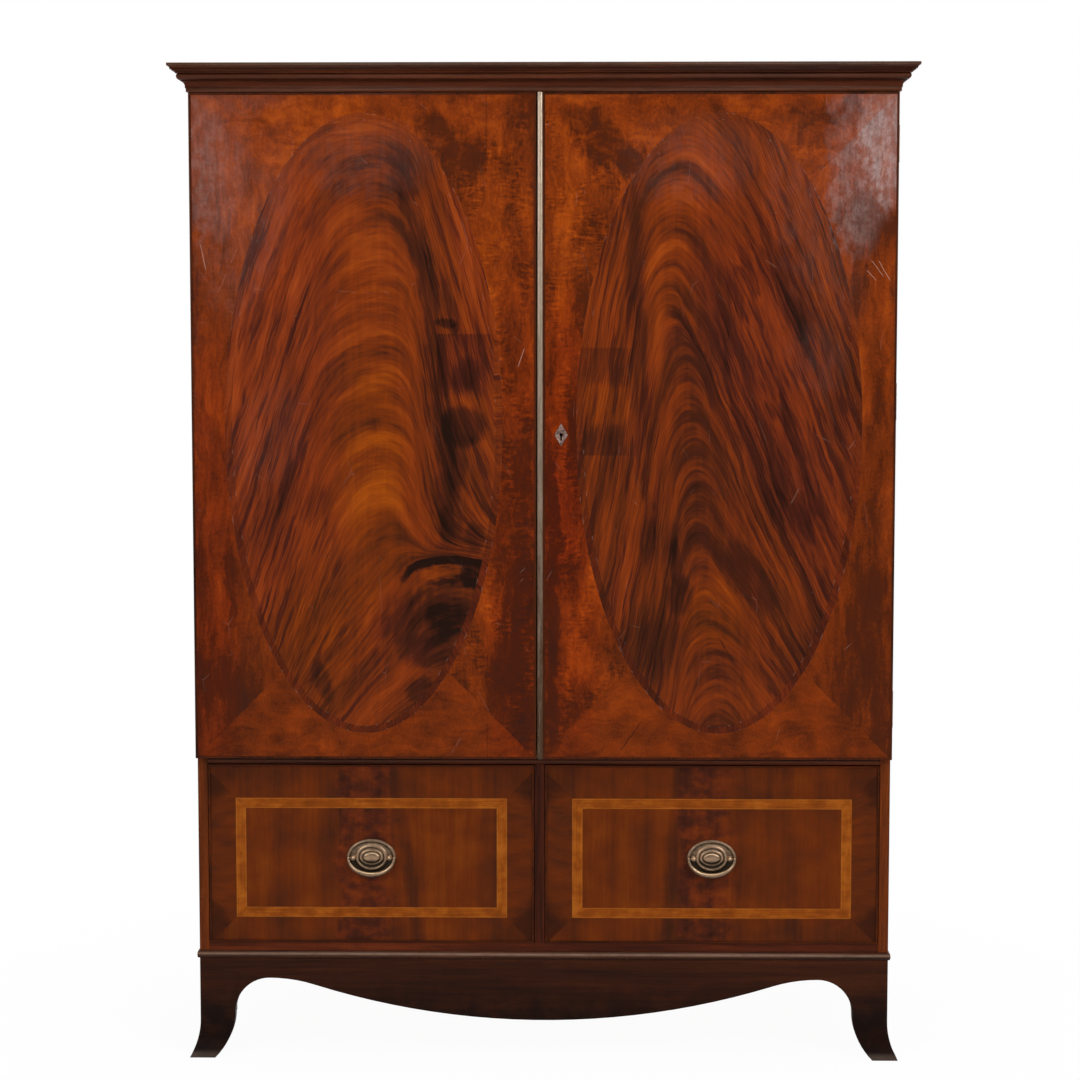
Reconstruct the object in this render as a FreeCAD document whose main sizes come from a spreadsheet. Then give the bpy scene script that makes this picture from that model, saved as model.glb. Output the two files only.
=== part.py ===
import FreeCAD, Part
import math
import os
import re
import Sketcher

# Linen press in two parts: an upper cupboard with two veneered doors over sliding
# trays, standing on a lower case with two drawers, a shaped apron and splayed feet.
# Millimetres. Z up from the floor, X to the right, the doors face -Y. The origin lies
# on the floor under the middle of the overall width and depth.

Vector = FreeCAD.Vector
Rotation = FreeCAD.Rotation
Placement = FreeCAD.Placement

doc = FreeCAD.newDocument("LinenPress")

# ---------------------------------------------------------------- driving sizes
SIZES = [
    ("case_width", "1226", "over the case sides, and over the pair of doors"),
    ("case_depth", "506", "front edge of the case sides to the back"),
    ("side_thick", "18", "case sides and upper boards"),
    ("upper_height", "1163", "upper cupboard side"),
    ("lower_height", "349.5", "lower case side"),
    ("back_thick", "10", "back boards"),
    ("back_rebate", "9", "how far the back boards reach into each side"),
    ("cornice_height", "47", "cornice moulding"),
    ("cornice_project", "32", "cornice in front of the doors and beside the case"),
    ("cornice_rail", "22", "thickness of the cornice frame's rails"),
    ("cornice_lid", "7", "dust board over the cornice frame"),
    ("bead_height", "12.5", "base bead"),
    ("bead_proud", "4", "base bead in front of the case"),
    ("bead_depth", "20", "base bead behind the case front"),
    ("apron_height", "178", "floor to the top of the aprons"),
    ("apron_thick", "20", "apron boards"),
    ("apron_dip", "66", "floor to the lowest point of the front apron"),
    ("arch_rise", "141", "floor to the top of the arches beside the feet"),
    ("foot_width", "45.5", "foot at the floor"),
    ("foot_swell", "34.5", "how much a foot widens up to the arch"),
    ("foot_splay", "17.5", "how far a foot turns outward at the floor"),
    ("foot_flare", "65", "height over which a foot turns outward"),
    ("arch_radius", "62", "round of the arch beside a foot"),
    ("shoulder_radius", "267", "round of the apron next to the arch"),
    ("block_size", "38", "glued corner blocks"),
    ("bracket_width", "118", "rear brackets"),
    ("bracket_lift", "62", "floor to the lower edge of the rear brackets"),
    ("rail_depth", "20", "front rails and divider, front to back"),
    ("top_rail", "12", "lower case top board and rail"),
    ("bottom_rail", "16", "lower case bottom board and rail"),
    ("divider_width", "18", "divider between the drawers"),
    ("divider_shift", "-6.4", "middle of the divider from the middle of the case"),
    ("door_stand_off", "0.5", "door back to case front"),
    ("door_core", "20", "door stiles, rails and core"),
    ("panel_thick", "12", "flat panels inside the door frame"),
    ("stile_width", "90", "door stiles and rails"),
    ("veneer", "1.5", "saw-cut veneer"),
    ("door_clear", "1", "door to cornice and door to waist"),
    ("door_gap", "2", "left door to closing strip"),
    ("meeting_shift", "-0.5", "right door's veneered edge from the middle"),
    ("strip_width", "9.5", "brass closing strip"),
    ("strip_depth", "10", "closing strip let into the door edge"),
    ("strip_proud", "3", "closing strip in front of the veneer"),
    ("edge_bead", "4", "bead round each door"),
    ("edge_bead_depth", "4", "edge bead, front to back"),
    ("edge_bead_proud", "0.8", "edge bead in front of the veneer"),
    ("oval_side", "58", "door edge to the oval, at the sides"),
    ("oval_top", "35", "door top to the oval"),
    ("oval_bottom", "46", "door bottom to the oval"),
    ("ring_width", "12", "crossbanded ring round the oval"),
    ("hinge_height", "65", "butt hinge"),
    ("hinge_inset", "87", "middle of the end hinges from the door ends"),
    ("hinge_rise", "48", "middle hinge above the middle of the door"),
    ("leaf_width", "16.5", "hinge leaf from the pin"),
    ("leaf_thick", "2", "hinge leaf"),
    ("pin_radius", "1.5", "hinge pin"),
    ("pin_clear", "0.05", "hinge pin in the door knuckles"),
    ("pin_out", "0.5", "hinge pin outside the case side"),
    ("knuckle_radius", "3", "hinge knuckle"),
    ("knuckle_clear", "0.4", "between knuckles, and knuckle to wood"),
    ("screw_radius", "1.6", "hinge screw"),
    ("screw_head", "3.4", "hinge screw head"),
    ("screw_length", "14", "hinge screw"),
    ("lock_level", "1112", "floor to the keyhole"),
    ("key_inset", "32", "keyhole from the right door's veneered edge"),
    ("lock_length", "52", "lock case"),
    ("lock_height", "56", "lock case"),
    ("lock_depth", "9", "lock case"),
    ("lock_wall", "1.5", "lock case sheet"),
    ("bolt_height", "16", "lock bolt"),
    ("bolt_throw", "9", "travel of the lock bolt"),
    ("slide_clear", "0.4", "sliding metal in its guide"),
    ("plate_thick", "1.5", "strike plate and escutcheon"),
    ("escutcheon_half_width", "12", "lozenge round the keyhole"),
    ("escutcheon_half_height", "20", "lozenge round the keyhole"),
    ("rod_inset", "30", "top and bottom bolts from the left door's edge"),
    ("rod_radius", "4", "top and bottom bolts"),
    ("rod_throw", "14", "travel of the top and bottom bolts"),
    ("rod_length", "120", "top and bottom bolts"),
    ("knob_radius", "4", "knobs of the top and bottom bolts"),
    ("guide_width", "24", "bolt guide plate"),
    ("guide_wall", "2.5", "bolt guide plate"),
    ("drawer_gap", "1", "drawer front to the case at the sides"),
    ("drawer_head", "1.5", "drawer front to the rail above"),
    ("drawer_foot", "0.5", "drawer to the board below"),
    ("drawer_behind", "24.5", "drawer back to the back boards"),
    ("drawer_core", "20", "drawer front"),
    ("drawer_side", "10", "drawer sides and back"),
    ("drawer_floor", "7", "drawer bottom"),
    ("floor_raise", "8", "drawer bottom above the lower edge"),
    ("side_drop", "12", "drawer sides below the drawer front's top"),
    ("cock_bead", "3", "cock bead round each drawer front"),
    ("cock_bead_depth", "14", "cock bead, front to back"),
    ("cock_bead_proud", "2.5", "cock bead in front of the drawer"),
    ("inlay_width", "18", "light banding frame"),
    ("inlay_side", "45", "drawer face edge to the banding, at the sides"),
    ("inlay_top", "57", "drawer face top to the banding"),
    ("inlay_bottom", "42", "drawer face bottom to the banding"),
    ("stop_height", "4.5", "drawer stops"),
    ("plate_half_width", "44", "oval handle plate"),
    ("plate_half_height", "33", "oval handle plate"),
    ("plate_sheet", "1.2", "handle plate sheet"),
    ("post_spacing", "64", "handle posts"),
    ("post_radius", "2", "handle post shank"),
    ("post_head", "4.6", "handle post head"),
    ("handle_reach", "8.5", "bail pin in front of the drawer face"),
    ("handle_drop", "7", "handle below the middle of the drawer opening"),
    ("bail_half_width", "40.5", "middle line of the bail"),
    ("bail_drop", "30", "middle line of the bail"),
    ("bail_end", "2.2", "bail radius at the posts"),
    ("bail_middle", "4.4", "bail radius at the bottom"),
    ("bail_pin", "1.5", "bail pin radius"),
    ("bail_clear", "0.06", "bail pin in the post"),
    ("tray_clear", "1.5", "tray to case side"),
    ("tray_set_back", "45", "tray front behind the case front"),
    ("tray_behind", "21", "tray back to the back boards"),
    ("tray_board", "10", "tray sides, front and back"),
    ("tray_floor", "8", "tray bottom"),
    ("tray_high", "120", "tray sides at the back"),
    ("tray_low", "75", "tray front"),
    ("tray_ledge", "55", "length of the low front part of a tray side"),
    ("runner_width", "14", "tray runner"),
    ("runner_height", "18", "tray runner"),
    ("runner_clear", "0.4", "tray above its runners"),
]
LEVELS = [
    ("half_width", "case_width / 2", "case side outer face"),
    ("inner_half", "half_width - side_thick", "case side inner face"),
    ("lower_level", "apron_height + bead_height", "underside of the lower case"),
    ("waist_level", "lower_level + lower_height", "lower case to upper cupboard"),
    ("cornice_level", "waist_level + upper_height", "top of the upper cupboard"),
    ("top_level", "cornice_level + cornice_height", "top of the cornice"),
    ("door_thick", "door_core + veneer", "door without its edge bead"),
    ("overall_depth", "cornice_project + door_thick + door_stand_off + case_depth", "whole press"),
    ("back_plane", "overall_depth / 2", "back of the press"),
    ("case_front", "back_plane - case_depth", "front of the case"),
    ("board_back", "back_plane - back_thick", "inner face of the back boards"),
    ("door_back", "case_front - door_stand_off", "inner face of the doors"),
    ("core_face", "door_back - door_core", "front of the door core"),
    ("door_face", "core_face - veneer", "front of the door veneer"),
    ("pin_plane", "(case_front + door_back) / 2", "hinge pins, front to back"),
    ("pin_side", "half_width + pin_out", "hinge pins from the middle"),
    ("door_foot", "waist_level + door_clear", "bottom of the doors"),
    ("door_head", "cornice_level - door_clear", "top of the doors"),
    ("strip_left", "meeting_shift - strip_width", "closing strip's left edge"),
    ("left_edge", "strip_left - door_gap", "left door's meeting edge"),
    ("oval_level", "(door_head - oval_top + door_foot + oval_bottom) / 2", "middle of the ovals"),
    ("oval_half", "oval_level - door_foot - oval_bottom", "half height of the ovals"),
    ("drawer_floor_level", "lower_level + bottom_rail", "drawer opening bottom"),
    ("drawer_top_level", "waist_level - top_rail", "drawer opening top"),
    ("divider_left", "divider_shift - divider_width / 2", "left drawer opening's right side"),
    ("divider_right", "divider_shift + divider_width / 2", "right drawer opening's left side"),
    ("drawer_core_face", "case_front + veneer", "front of the drawer core"),
    ("drawer_core_back", "drawer_core_face + drawer_core", "back of the drawer front"),
    ("handle_level", "(drawer_floor_level + drawer_top_level) / 2 - handle_drop", "handle posts"),
    ("handle_plane", "case_front - handle_reach", "bail pins, front to back"),
    ("cupboard_floor", "waist_level + side_thick", "inside bottom of the cupboard"),
    ("cupboard_head", "cornice_level - side_thick", "inside top of the cupboard"),
    ("lock_face", "door_back - lock_depth", "front of the lock case"),
    ("lock_middle", "door_back - lock_depth / 2", "middle of the lock case"),
    ("keyhole", "meeting_shift + key_inset", "keyhole from the middle"),
    ("rod_side", "left_edge - rod_inset", "top and bottom bolts"),
    ("rod_plane", "door_back + guide_wall + rod_radius + 1", "top and bottom bolts"),
]
HINGES_PER_DOOR = 3
KNUCKLES = 5
SCREWS_PER_LEAF = 3
TRAYS = 5
BACK_BOARDS = 6
BAIL_HOOPS = 13

WORDS = {alias: "sizes" for alias, content, note in SIZES}
WORDS.update({alias: "levels" for alias, content, note in LEVELS})


def formula(text):
    """A formula in plain words, with each word pointed at its sheet."""
    def point(match):
        word = match.group()
        return f"{WORDS[word]}.{word}" if word in WORDS else word
    return re.sub(r"[a-z][a-z_]*", point, str(text))


def fill(sheet, rows, prepare):
    for row, (alias, content, note) in enumerate(rows, start=1):
        sheet.set(f"A{row}", alias)
        sheet.set(f"B{row}", prepare(content))
        sheet.setAlias(f"B{row}", alias)
        sheet.set(f"C{row}", note)


def level_formula(content):
    """Formulas of the second sheet name their own cells without a sheet."""
    return "=" + formula(content).replace("levels.", "")


sizes = doc.addObject("Spreadsheet::Sheet", "sizes")
fill(sizes, SIZES, str)
levels = doc.addObject("Spreadsheet::Sheet", "levels")
fill(levels, LEVELS, level_formula)
doc.recompute()


def value(text):
    """The number that a formula gives now."""
    return float(sizes.evalExpression(formula(text)))


# ---------------------------------------------------------------- small makers
TURNS = {
    "x": Rotation(Vector(0, 1, 0), 90),
    "y": Rotation(Vector(1, 0, 0), -90),
    "z": Rotation(),
}
FACING_FRONT = Rotation(Vector(1, 0, 0), 90)
UPRIGHT_OVAL = Rotation(Vector(1, 1, 1), -120)
FRONTWARD = Vector(0, -1, 0)


def bind(obj, **formulas):
    for name, text in formulas.items():
        obj.setExpression(name.replace("_at_", "."), formula(text))
    return obj


def move(obj, x=0, y=0, z=0):
    """Ties an object's place to formulas."""
    for axis, text in (("x", x), ("y", y), ("z", z)):
        obj.setExpression(f"Placement.Base.{axis}", formula(text))
    return obj


def board(name, xs, ys, zs):
    """A rectangular piece between a low and a high formula on each axis."""
    obj = doc.addObject("Part::Box", name)
    for size, (low, high) in zip(("Length", "Width", "Height"), (xs, ys, zs)):
        obj.setExpression(size, formula(f"({high}) - ({low})"))
    return move(obj, xs[0], ys[0], zs[0])


def rod(name, axis, x, y, z, radius, length):
    """A round piece that starts at a point and runs along an axis."""
    obj = doc.addObject("Part::Cylinder", name)
    obj.Placement = Placement(Vector(), TURNS[axis])
    bind(obj, Radius=radius, Height=length)
    return move(obj, x, y, z)


def union(name, *parts):
    obj = doc.addObject("Part::MultiFuse", name)
    obj.Shapes = list(parts)
    obj.Refine = True
    return obj


def cut(name, base, *tools):
    tool = tools[0] if len(tools) == 1 else union(name + "_tool", *tools)
    obj = doc.addObject("Part::Cut", name)
    obj.Base = base
    obj.Tool = tool
    return obj


def common(name, first, second):
    obj = doc.addObject("Part::Common", name)
    obj.Base = first
    obj.Tool = second
    return obj


def group(name, *parts):
    obj = doc.addObject("Part::Compound", name)
    obj.Links = list(parts)
    return obj


nodes = []


def node(label, obj):
    """Marks a finished sub-part: its label names its file."""
    obj.Label = label
    nodes.append(obj)
    return obj


def oval(name, x, y_back, z, half_x, half_z, thick, upright):
    """An elliptical plate that faces the front, from its back plane forward."""
    edge = doc.addObject("Part::Ellipse", name + "_outline")
    edge.Placement = Placement(Vector(), UPRIGHT_OVAL if upright else FACING_FRONT)
    long_half, short_half = (half_z, half_x) if upright else (half_x, half_z)
    bind(edge, MajorRadius=long_half, MinorRadius=short_half)
    move(edge, x, y_back, z)
    obj = doc.addObject("Part::Extrusion", name)
    obj.Base = edge
    obj.DirMode = "Custom"
    obj.Dir = FRONTWARD
    obj.Solid = True
    return bind(obj, LengthFwd=thick)


def mitred_frame(name, xs, zs, widths, y_back, thick):
    """Four strips round a rectangle, mitred at its corners.

    The widths are those of the bottom, right, top and left strips. Each strip starts
    at one corner of the rectangle, runs along its edge and grows inward."""
    corners = ((xs[0], zs[0]), (xs[1], zs[0]), (xs[1], zs[1]), (xs[0], zs[1]))
    runs = (f"({xs[1]}) - ({xs[0]})", f"({zs[1]}) - ({zs[0]})") * 2
    strips = []
    for side, (corner, run) in enumerate(zip(corners, runs)):
        strip = doc.addObject("Part::Wedge", f"{name}_{side + 1}")
        turn = Rotation(FRONTWARD, 90 * side).multiply(FACING_FRONT)
        strip.Placement = Placement(Vector(), turn)
        before, own, after = widths[side - 1], widths[side], widths[(side + 1) % 4]
        bind(strip, Xmin=0, Xmax=run, X2min=before, X2max=f"{run} - ({after})")
        bind(strip, Ymin=0, Ymax=own, Zmin=0, Zmax=thick, Z2min=0, Z2max=thick)
        strips.append(move(strip, corner[0], y_back, corner[1]))
    return strips


def plane_of(body, role):
    return next(item for item in body.Origin.OriginFeatures if item.Role == role)


def sketch(body, name, role, outline):
    """A sketch of lines and arcs. Each step of the outline is a point, or a pair of
    points for an arc through the first to the second."""
    obj = body.newObject("Sketcher::SketchObject", name)
    obj.AttachmentSupport = [(plane_of(body, role), "")]
    obj.MapMode = "FlatFace"
    here = Vector(*outline[0], 0)
    for step in outline[1:]:
        if isinstance(step[0], tuple):
            through, there = (Vector(*point, 0) for point in step)
            obj.addGeometry(Part.Arc(here, through, there))
        else:
            there = Vector(*step, 0)
            obj.addGeometry(Part.LineSegment(here, there))
        here = there
    return obj


def closed(outline):
    """An outline that ends with a line back to its start."""
    return outline + outline[:1]


def body_named(name):
    return doc.addObject("PartDesign::Body", name)


def pad(body, name, profile, length, midplane=False, reverse=False):
    obj = body.newObject("PartDesign::Pad", name)
    obj.Profile = profile
    obj.Midplane = midplane
    obj.Reversed = reverse
    return bind(obj, Length=length)


def pocket(body, name, profile, length):
    """A pocket cut equally to both sides of its sketch."""
    obj = body.newObject("PartDesign::Pocket", name)
    obj.Profile = profile
    obj.Midplane = True
    return bind(obj, Length=length)


# ---------------------------------------------------------------- mouldings
def moulding(name, profile, level, front, side):
    """A moulding that runs round the front and both sides of the case.

    The profile's steps hold the projection from the wall and the height above the
    moulding's foot. front and side are the wall's places."""
    body = body_named(name + "_run")
    wall_y, wall_x, back = value(front), value(side), value("back_plane")
    base = value(level)

    def place(point):
        return (wall_y - point[0], base + point[1])

    steps = [tuple(map(place, step)) if isinstance(step[0], tuple) else place(step)
             for step in closed(profile)]
    section = sketch(body, name + "_section", "YZ_Plane", steps)
    corners = [(-wall_x, back), (-wall_x, wall_y), (wall_x, wall_y), (wall_x, back)]
    path = sketch(body, name + "_path", "XY_Plane", corners)
    bind(path, AttachmentOffset_at_Base_at_z=level)
    pipe = body.newObject("PartDesign::AdditivePipe", name + "_pipe")
    pipe.Profile = section
    pipe.Spine = (path, ["Edge1", "Edge2", "Edge3"])
    pipe.Transition = "Right corner"
    return body


def mitre_block(name, front, side, reach, behind, low, high):
    """Everything in front of the two mitre planes that leave the front corners."""
    obj = doc.addObject("Part::Wedge", name)
    half = f"{side} + {reach}"
    bind(obj, Xmin=f"-({half})", Xmax=half, Ymin=0, Ymax=f"{reach} + {behind}")
    bind(obj, X2min=f"{behind} - {side}", X2max=f"{side} - {behind}")
    bind(obj, Zmin=0, Zmax=f"({high}) - ({low})", Z2min=0, Z2max=f"({high}) - ({low})")
    return move(obj, 0, f"{front} - {reach}", low)


def build_cornice():
    """Cornice: moulding on a softwood frame, closed by a dust board."""
    high = value("cornice_height")
    out = value("cornice_project")

    def at(across, up):
        """A point at a share of the projection and of the height."""
        return (out * across, high * up)

    profile = [
        at(0, 0),
        at(0.10, 0),
        at(0.10, 0.138),
        at(0.144, 0.138),
        (at(0.19, 0.298), at(0.328, 0.383)),
        at(0.328, 0.413),
        at(0.4125, 0.413),
        (at(0.55, 0.532), at(0.469, 0.651)),
        at(0.594, 0.651),
        (at(0.644, 0.711), at(0.75, 0.728)),
        at(0.75, 0.787),
        at(0.859, 0.787),
        (at(0.881, 0.86), at(0.975, 0.902)),
        at(1, 0.902),
        at(1, 1),
        at(0, 1),
    ]
    run = moulding("cornice", profile, "cornice_level", "door_face", "half_width")
    block = mitre_block(
        "cornice_mitre", "door_face", "half_width", "(cornice_project + 5)", "5",
        "cornice_level - 1", "top_level + 1",
    )
    front = common("cornice_front", run, block)
    sides = cut("cornice_sides", run, block)
    node("cornice_moulding", group("cornice_lengths", front, sides))

    rails = ("cornice_level", "top_level - cornice_lid")
    whole = ("-half_width", "half_width")
    inner_x = ("cornice_rail - half_width", "half_width - cornice_rail")
    inner_y = ("door_face + cornice_rail", "back_plane - cornice_rail")
    front_rail = board("cornice_front_rail", whole, ("door_face", inner_y[0]), rails)
    back_rail = board("cornice_back_rail", whole, (inner_y[1], "back_plane"), rails)
    left_rail = board("cornice_left_rail", (whole[0], inner_x[0]), inner_y, rails)
    right_rail = board("cornice_right_rail", (inner_x[1], whole[1]), inner_y, rails)
    node("cornice_frame", group("cornice_rails", front_rail, back_rail, left_rail, right_rail))
    lid = board("cornice_lid_board", whole, ("door_face", "back_plane"), (rails[1], "top_level"))
    node("cornice_top_board", lid)


def build_base_bead():
    """Half-round bead between the lower case and the aprons."""
    proud = value("bead_proud")
    high = value("bead_height")
    nose = proud - 1.5
    profile = [
        (-value("bead_depth"), 0),
        (nose, 0),
        ((proud, high / 2), (nose, high)),
        (-value("bead_depth"), high),
    ]
    run = moulding("bead", profile, "apron_height", "case_front", "half_width")
    block = mitre_block(
        "bead_mitre", "case_front", "half_width", "(bead_proud + 5)", "(bead_depth + 5)",
        "apron_height - 1", "lower_level + 1",
    )
    front = common("bead_front", run, block)
    sides = cut("bead_sides", run, block)
    node("base_bead", group("bead_lengths", front, sides))


# ---------------------------------------------------------------- aprons and feet
def flare(inset):
    """Arc of a foot's outer or inner face, as steps from the floor up to the straight."""
    height = value("foot_flare")
    splay = value("foot_splay")
    radius = (height ** 2 + splay ** 2) / (2 * splay)

    def out(level):
        rise = height - level
        return radius - math.sqrt(radius ** 2 - rise ** 2) - inset
    return (out(0), 0), ((out(height / 2), height / 2), (-inset, height))


def foot_curve():
    """Inner outline of a foot and arch, as distance in from the case corner and level.

    It starts at the floor, runs up the foot, and ends at the top of the arch."""
    low = value("foot_width - foot_splay")
    arch = value("arch_radius")
    top = value("arch_rise")
    spring = top - arch
    lean = value("foot_swell")
    swell = low + lean
    radius = (spring ** 2 + lean ** 2) / (2 * lean)
    half = spring / 2
    bow = swell - (radius - math.sqrt(radius ** 2 - half ** 2))
    turn = math.sqrt(0.5) * arch
    return [
        (low, 0),
        ((bow, half), (swell, spring)),
        ((swell + arch - turn, spring + turn), (swell + arch, top)),
    ]


def apron_middle():
    """Dip of the front apron: one long arc, met by a shoulder arc on each side.

    Gives the place of the shoulder and the point where the two arcs meet."""
    shoulder = value("shoulder_radius")
    rise = value("arch_rise - apron_dip")
    span = value("half_width") - foot_curve()[2][1][0]
    long_radius = (span ** 2 + rise ** 2) / (2 * rise) - shoulder
    share = long_radius / (long_radius + shoulder)
    meet = (span * share, value("apron_dip") + rise * share)
    return meet, long_radius, shoulder, span


def mirrored(steps):
    """Outline steps of the left half, from those of the right half, in reverse."""
    points = []
    for step in steps:
        points.append(step if isinstance(step[0], tuple) else (None, step))
    result = []
    for index in range(len(points) - 1, 0, -1):
        through = points[index][0]
        there = points[index - 1][1]
        flipped = (-there[0], there[1])
        result.append(flipped if through is None else ((-through[0], through[1]), flipped))
    return result


def build_front_apron():
    """Front apron and its two feet: sawn from the front, then shaped from the side."""
    half = value("half_width")
    top = value("apron_height")
    meet, long_radius, shoulder, span = apron_middle()
    dip = value("apron_dip")
    arch_top = value("arch_rise")
    lean = math.asin(meet[0] / long_radius) / 2
    long_mid = (long_radius * math.sin(lean), dip + long_radius * (1 - math.cos(lean)))
    shoulder_mid = (span - shoulder * math.sin(lean), arch_top - shoulder * (1 - math.cos(lean)))
    foot = foot_curve()
    outer_foot, outer_rise = flare(0)

    def inward(point):
        return (half - point[0], point[1])

    right = [
        (0, dip),
        (long_mid, meet),
        (shoulder_mid, inward(foot[2][1])),
        (inward(foot[2][0]), inward(foot[1][1])),
        (inward(foot[1][0]), inward(foot[0])),
        (half + outer_foot[0], 0),
        ((half + outer_rise[0][0], outer_rise[0][1]), (half, outer_rise[1][1])),
        (half, top),
        (0, top),
    ]
    left = mirrored(right)
    body = body_named("front_apron_body")
    outline = sketch(body, "front_apron_outline", "XZ_Plane", right + left)
    blank = pad(body, "front_apron_blank", outline, "case_depth * 2", midplane=True)
    shape_faces(body, "front_apron", "YZ_Plane", value("case_front"), -1)
    return body


def shape_faces(body, name, role, face, outward):
    """Cuts a blank to a slab whose outer and inner faces flare at the foot."""
    thick = value("apron_thick")
    top = value("apron_height") + 5
    far = 3 * value("case_width")
    outer_foot, outer_rise = flare(0)
    inner_foot, inner_rise = flare(thick)

    def place(point):
        return (face + outward * point[0], point[1])

    front_waste = [
        place(outer_foot),
        (place(outer_rise[0]), place(outer_rise[1])),
        (face, top),
        (face + outward * far, top),
        (face + outward * far, -5),
        (place(outer_foot)[0], -5),
    ]
    back_waste = [
        place(inner_foot),
        (place(inner_rise[0]), place(inner_rise[1])),
        (face - outward * thick, top),
        (face - outward * far, top),
        (face - outward * far, -5),
        (place(inner_foot)[0], -5),
    ]
    for waste_name, waste in (("front", front_waste), ("back", back_waste)):
        outline = sketch(body, f"{name}_{waste_name}_waste", role, closed(waste))
        pocket(body, f"{name}_{waste_name}_cut", outline, "case_width * 3")


def build_side_apron(side):
    """Side apron with a splayed front foot and a plain rear foot."""
    name = "left" if side < 0 else "right"
    front = value("case_front")
    back = value("back_plane")
    top = value("apron_height")
    foot = foot_curve()
    outer_foot, outer_rise = flare(0)
    plain = foot[1][1][0]
    outline_steps = [
        (front - outer_foot[0], 0),
        (front + foot[0][0], 0),
        ((front + foot[1][0][0], foot[1][0][1]), (front + foot[1][1][0], foot[1][1][1])),
        ((front + foot[2][0][0], foot[2][0][1]), (front + foot[2][1][0], foot[2][1][1])),
        (back - foot[2][1][0], foot[2][1][1]),
        ((back - foot[2][0][0], foot[2][0][1]), (back - plain, foot[1][1][1])),
        (back - plain, 0),
        (back, 0),
        (back, top),
        (front, top),
        (front, outer_rise[1][1]),
        ((front - outer_rise[0][0], outer_rise[0][1]), (front - outer_foot[0], 0)),
    ]
    body = body_named(f"{name}_apron_body")
    outline = sketch(body, f"{name}_apron_outline", "YZ_Plane", outline_steps)
    pad(body, f"{name}_apron_blank", outline, "case_width * 2", midplane=True)
    shape_faces(body, f"{name}_apron", "XZ_Plane", side * value("half_width"), side)
    return body


def build_feet():
    """Aprons with mitred corners, rear brackets and glued corner blocks."""
    block = mitre_block(
        "apron_mitre", "case_front", "half_width", "(foot_splay + 5)", "(apron_thick + 5)",
        "-1", "apron_height + 1",
    )
    node("front_apron", common("front_apron_mitred", build_front_apron(), block))
    node("left_apron", cut("left_apron_mitred", build_side_apron(-1), block))
    node("right_apron", cut("right_apron_mitred", build_side_apron(1), block))

    inner = "half_width - apron_thick"
    brackets = []
    for name, side in (("left", -1), ("right", 1)):
        near, far = f"{inner} - bracket_width", inner
        xs = (near, far) if side > 0 else (f"-({far})", f"-({near})")
        plank = board(
            f"{name}_bracket_plank", xs, ("back_plane - side_thick", "back_plane"),
            ("bracket_lift", "apron_height"),
        )
        scoop = rod(
            f"{name}_bracket_scoop", "y", f"{side} * ({near})", "back_plane - side_thick - 1",
            "apron_height - bracket_width - 20", "bracket_width - 44", "side_thick + 2",
        )
        brackets.append(cut(f"{name}_bracket", plank, scoop))
    node("rear_brackets", group("rear_bracket_pair", *brackets))

    blocks = []
    depths = (
        ("front", "case_front + apron_thick", "case_front + apron_thick + block_size"),
        ("rear", "back_plane - side_thick - block_size", "back_plane - side_thick"),
    )
    for end, near, far in depths:
        for name, xs in (
            ("left", (f"-({inner})", f"block_size - ({inner})")),
            ("right", (f"{inner} - block_size", inner)),
        ):
            # Each block ends above the flare, out of sight behind its foot.
            span = ("foot_flare + 2", "apron_height")
            blocks.append(board(f"{end}_{name}_block", xs, (near, far), span))
    node("corner_blocks", group("corner_block_set", *blocks))


# ---------------------------------------------------------------- hinges
def hinge_levels():
    """Formulas of the middles of a door's hinges."""
    return (
        "door_foot + hinge_inset",
        "(door_foot + door_head) / 2 + hinge_rise",
        "door_head - hinge_inset",
    )


def knuckle_span(number, middle):
    """Ends of one knuckle, counted from the bottom of its hinge."""
    step = f"hinge_height / {KNUCKLES}"
    base = f"{middle} - hinge_height / 2"
    return f"{base} + {step} * {number}", f"{base} + {step} * {number + 1}"


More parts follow.
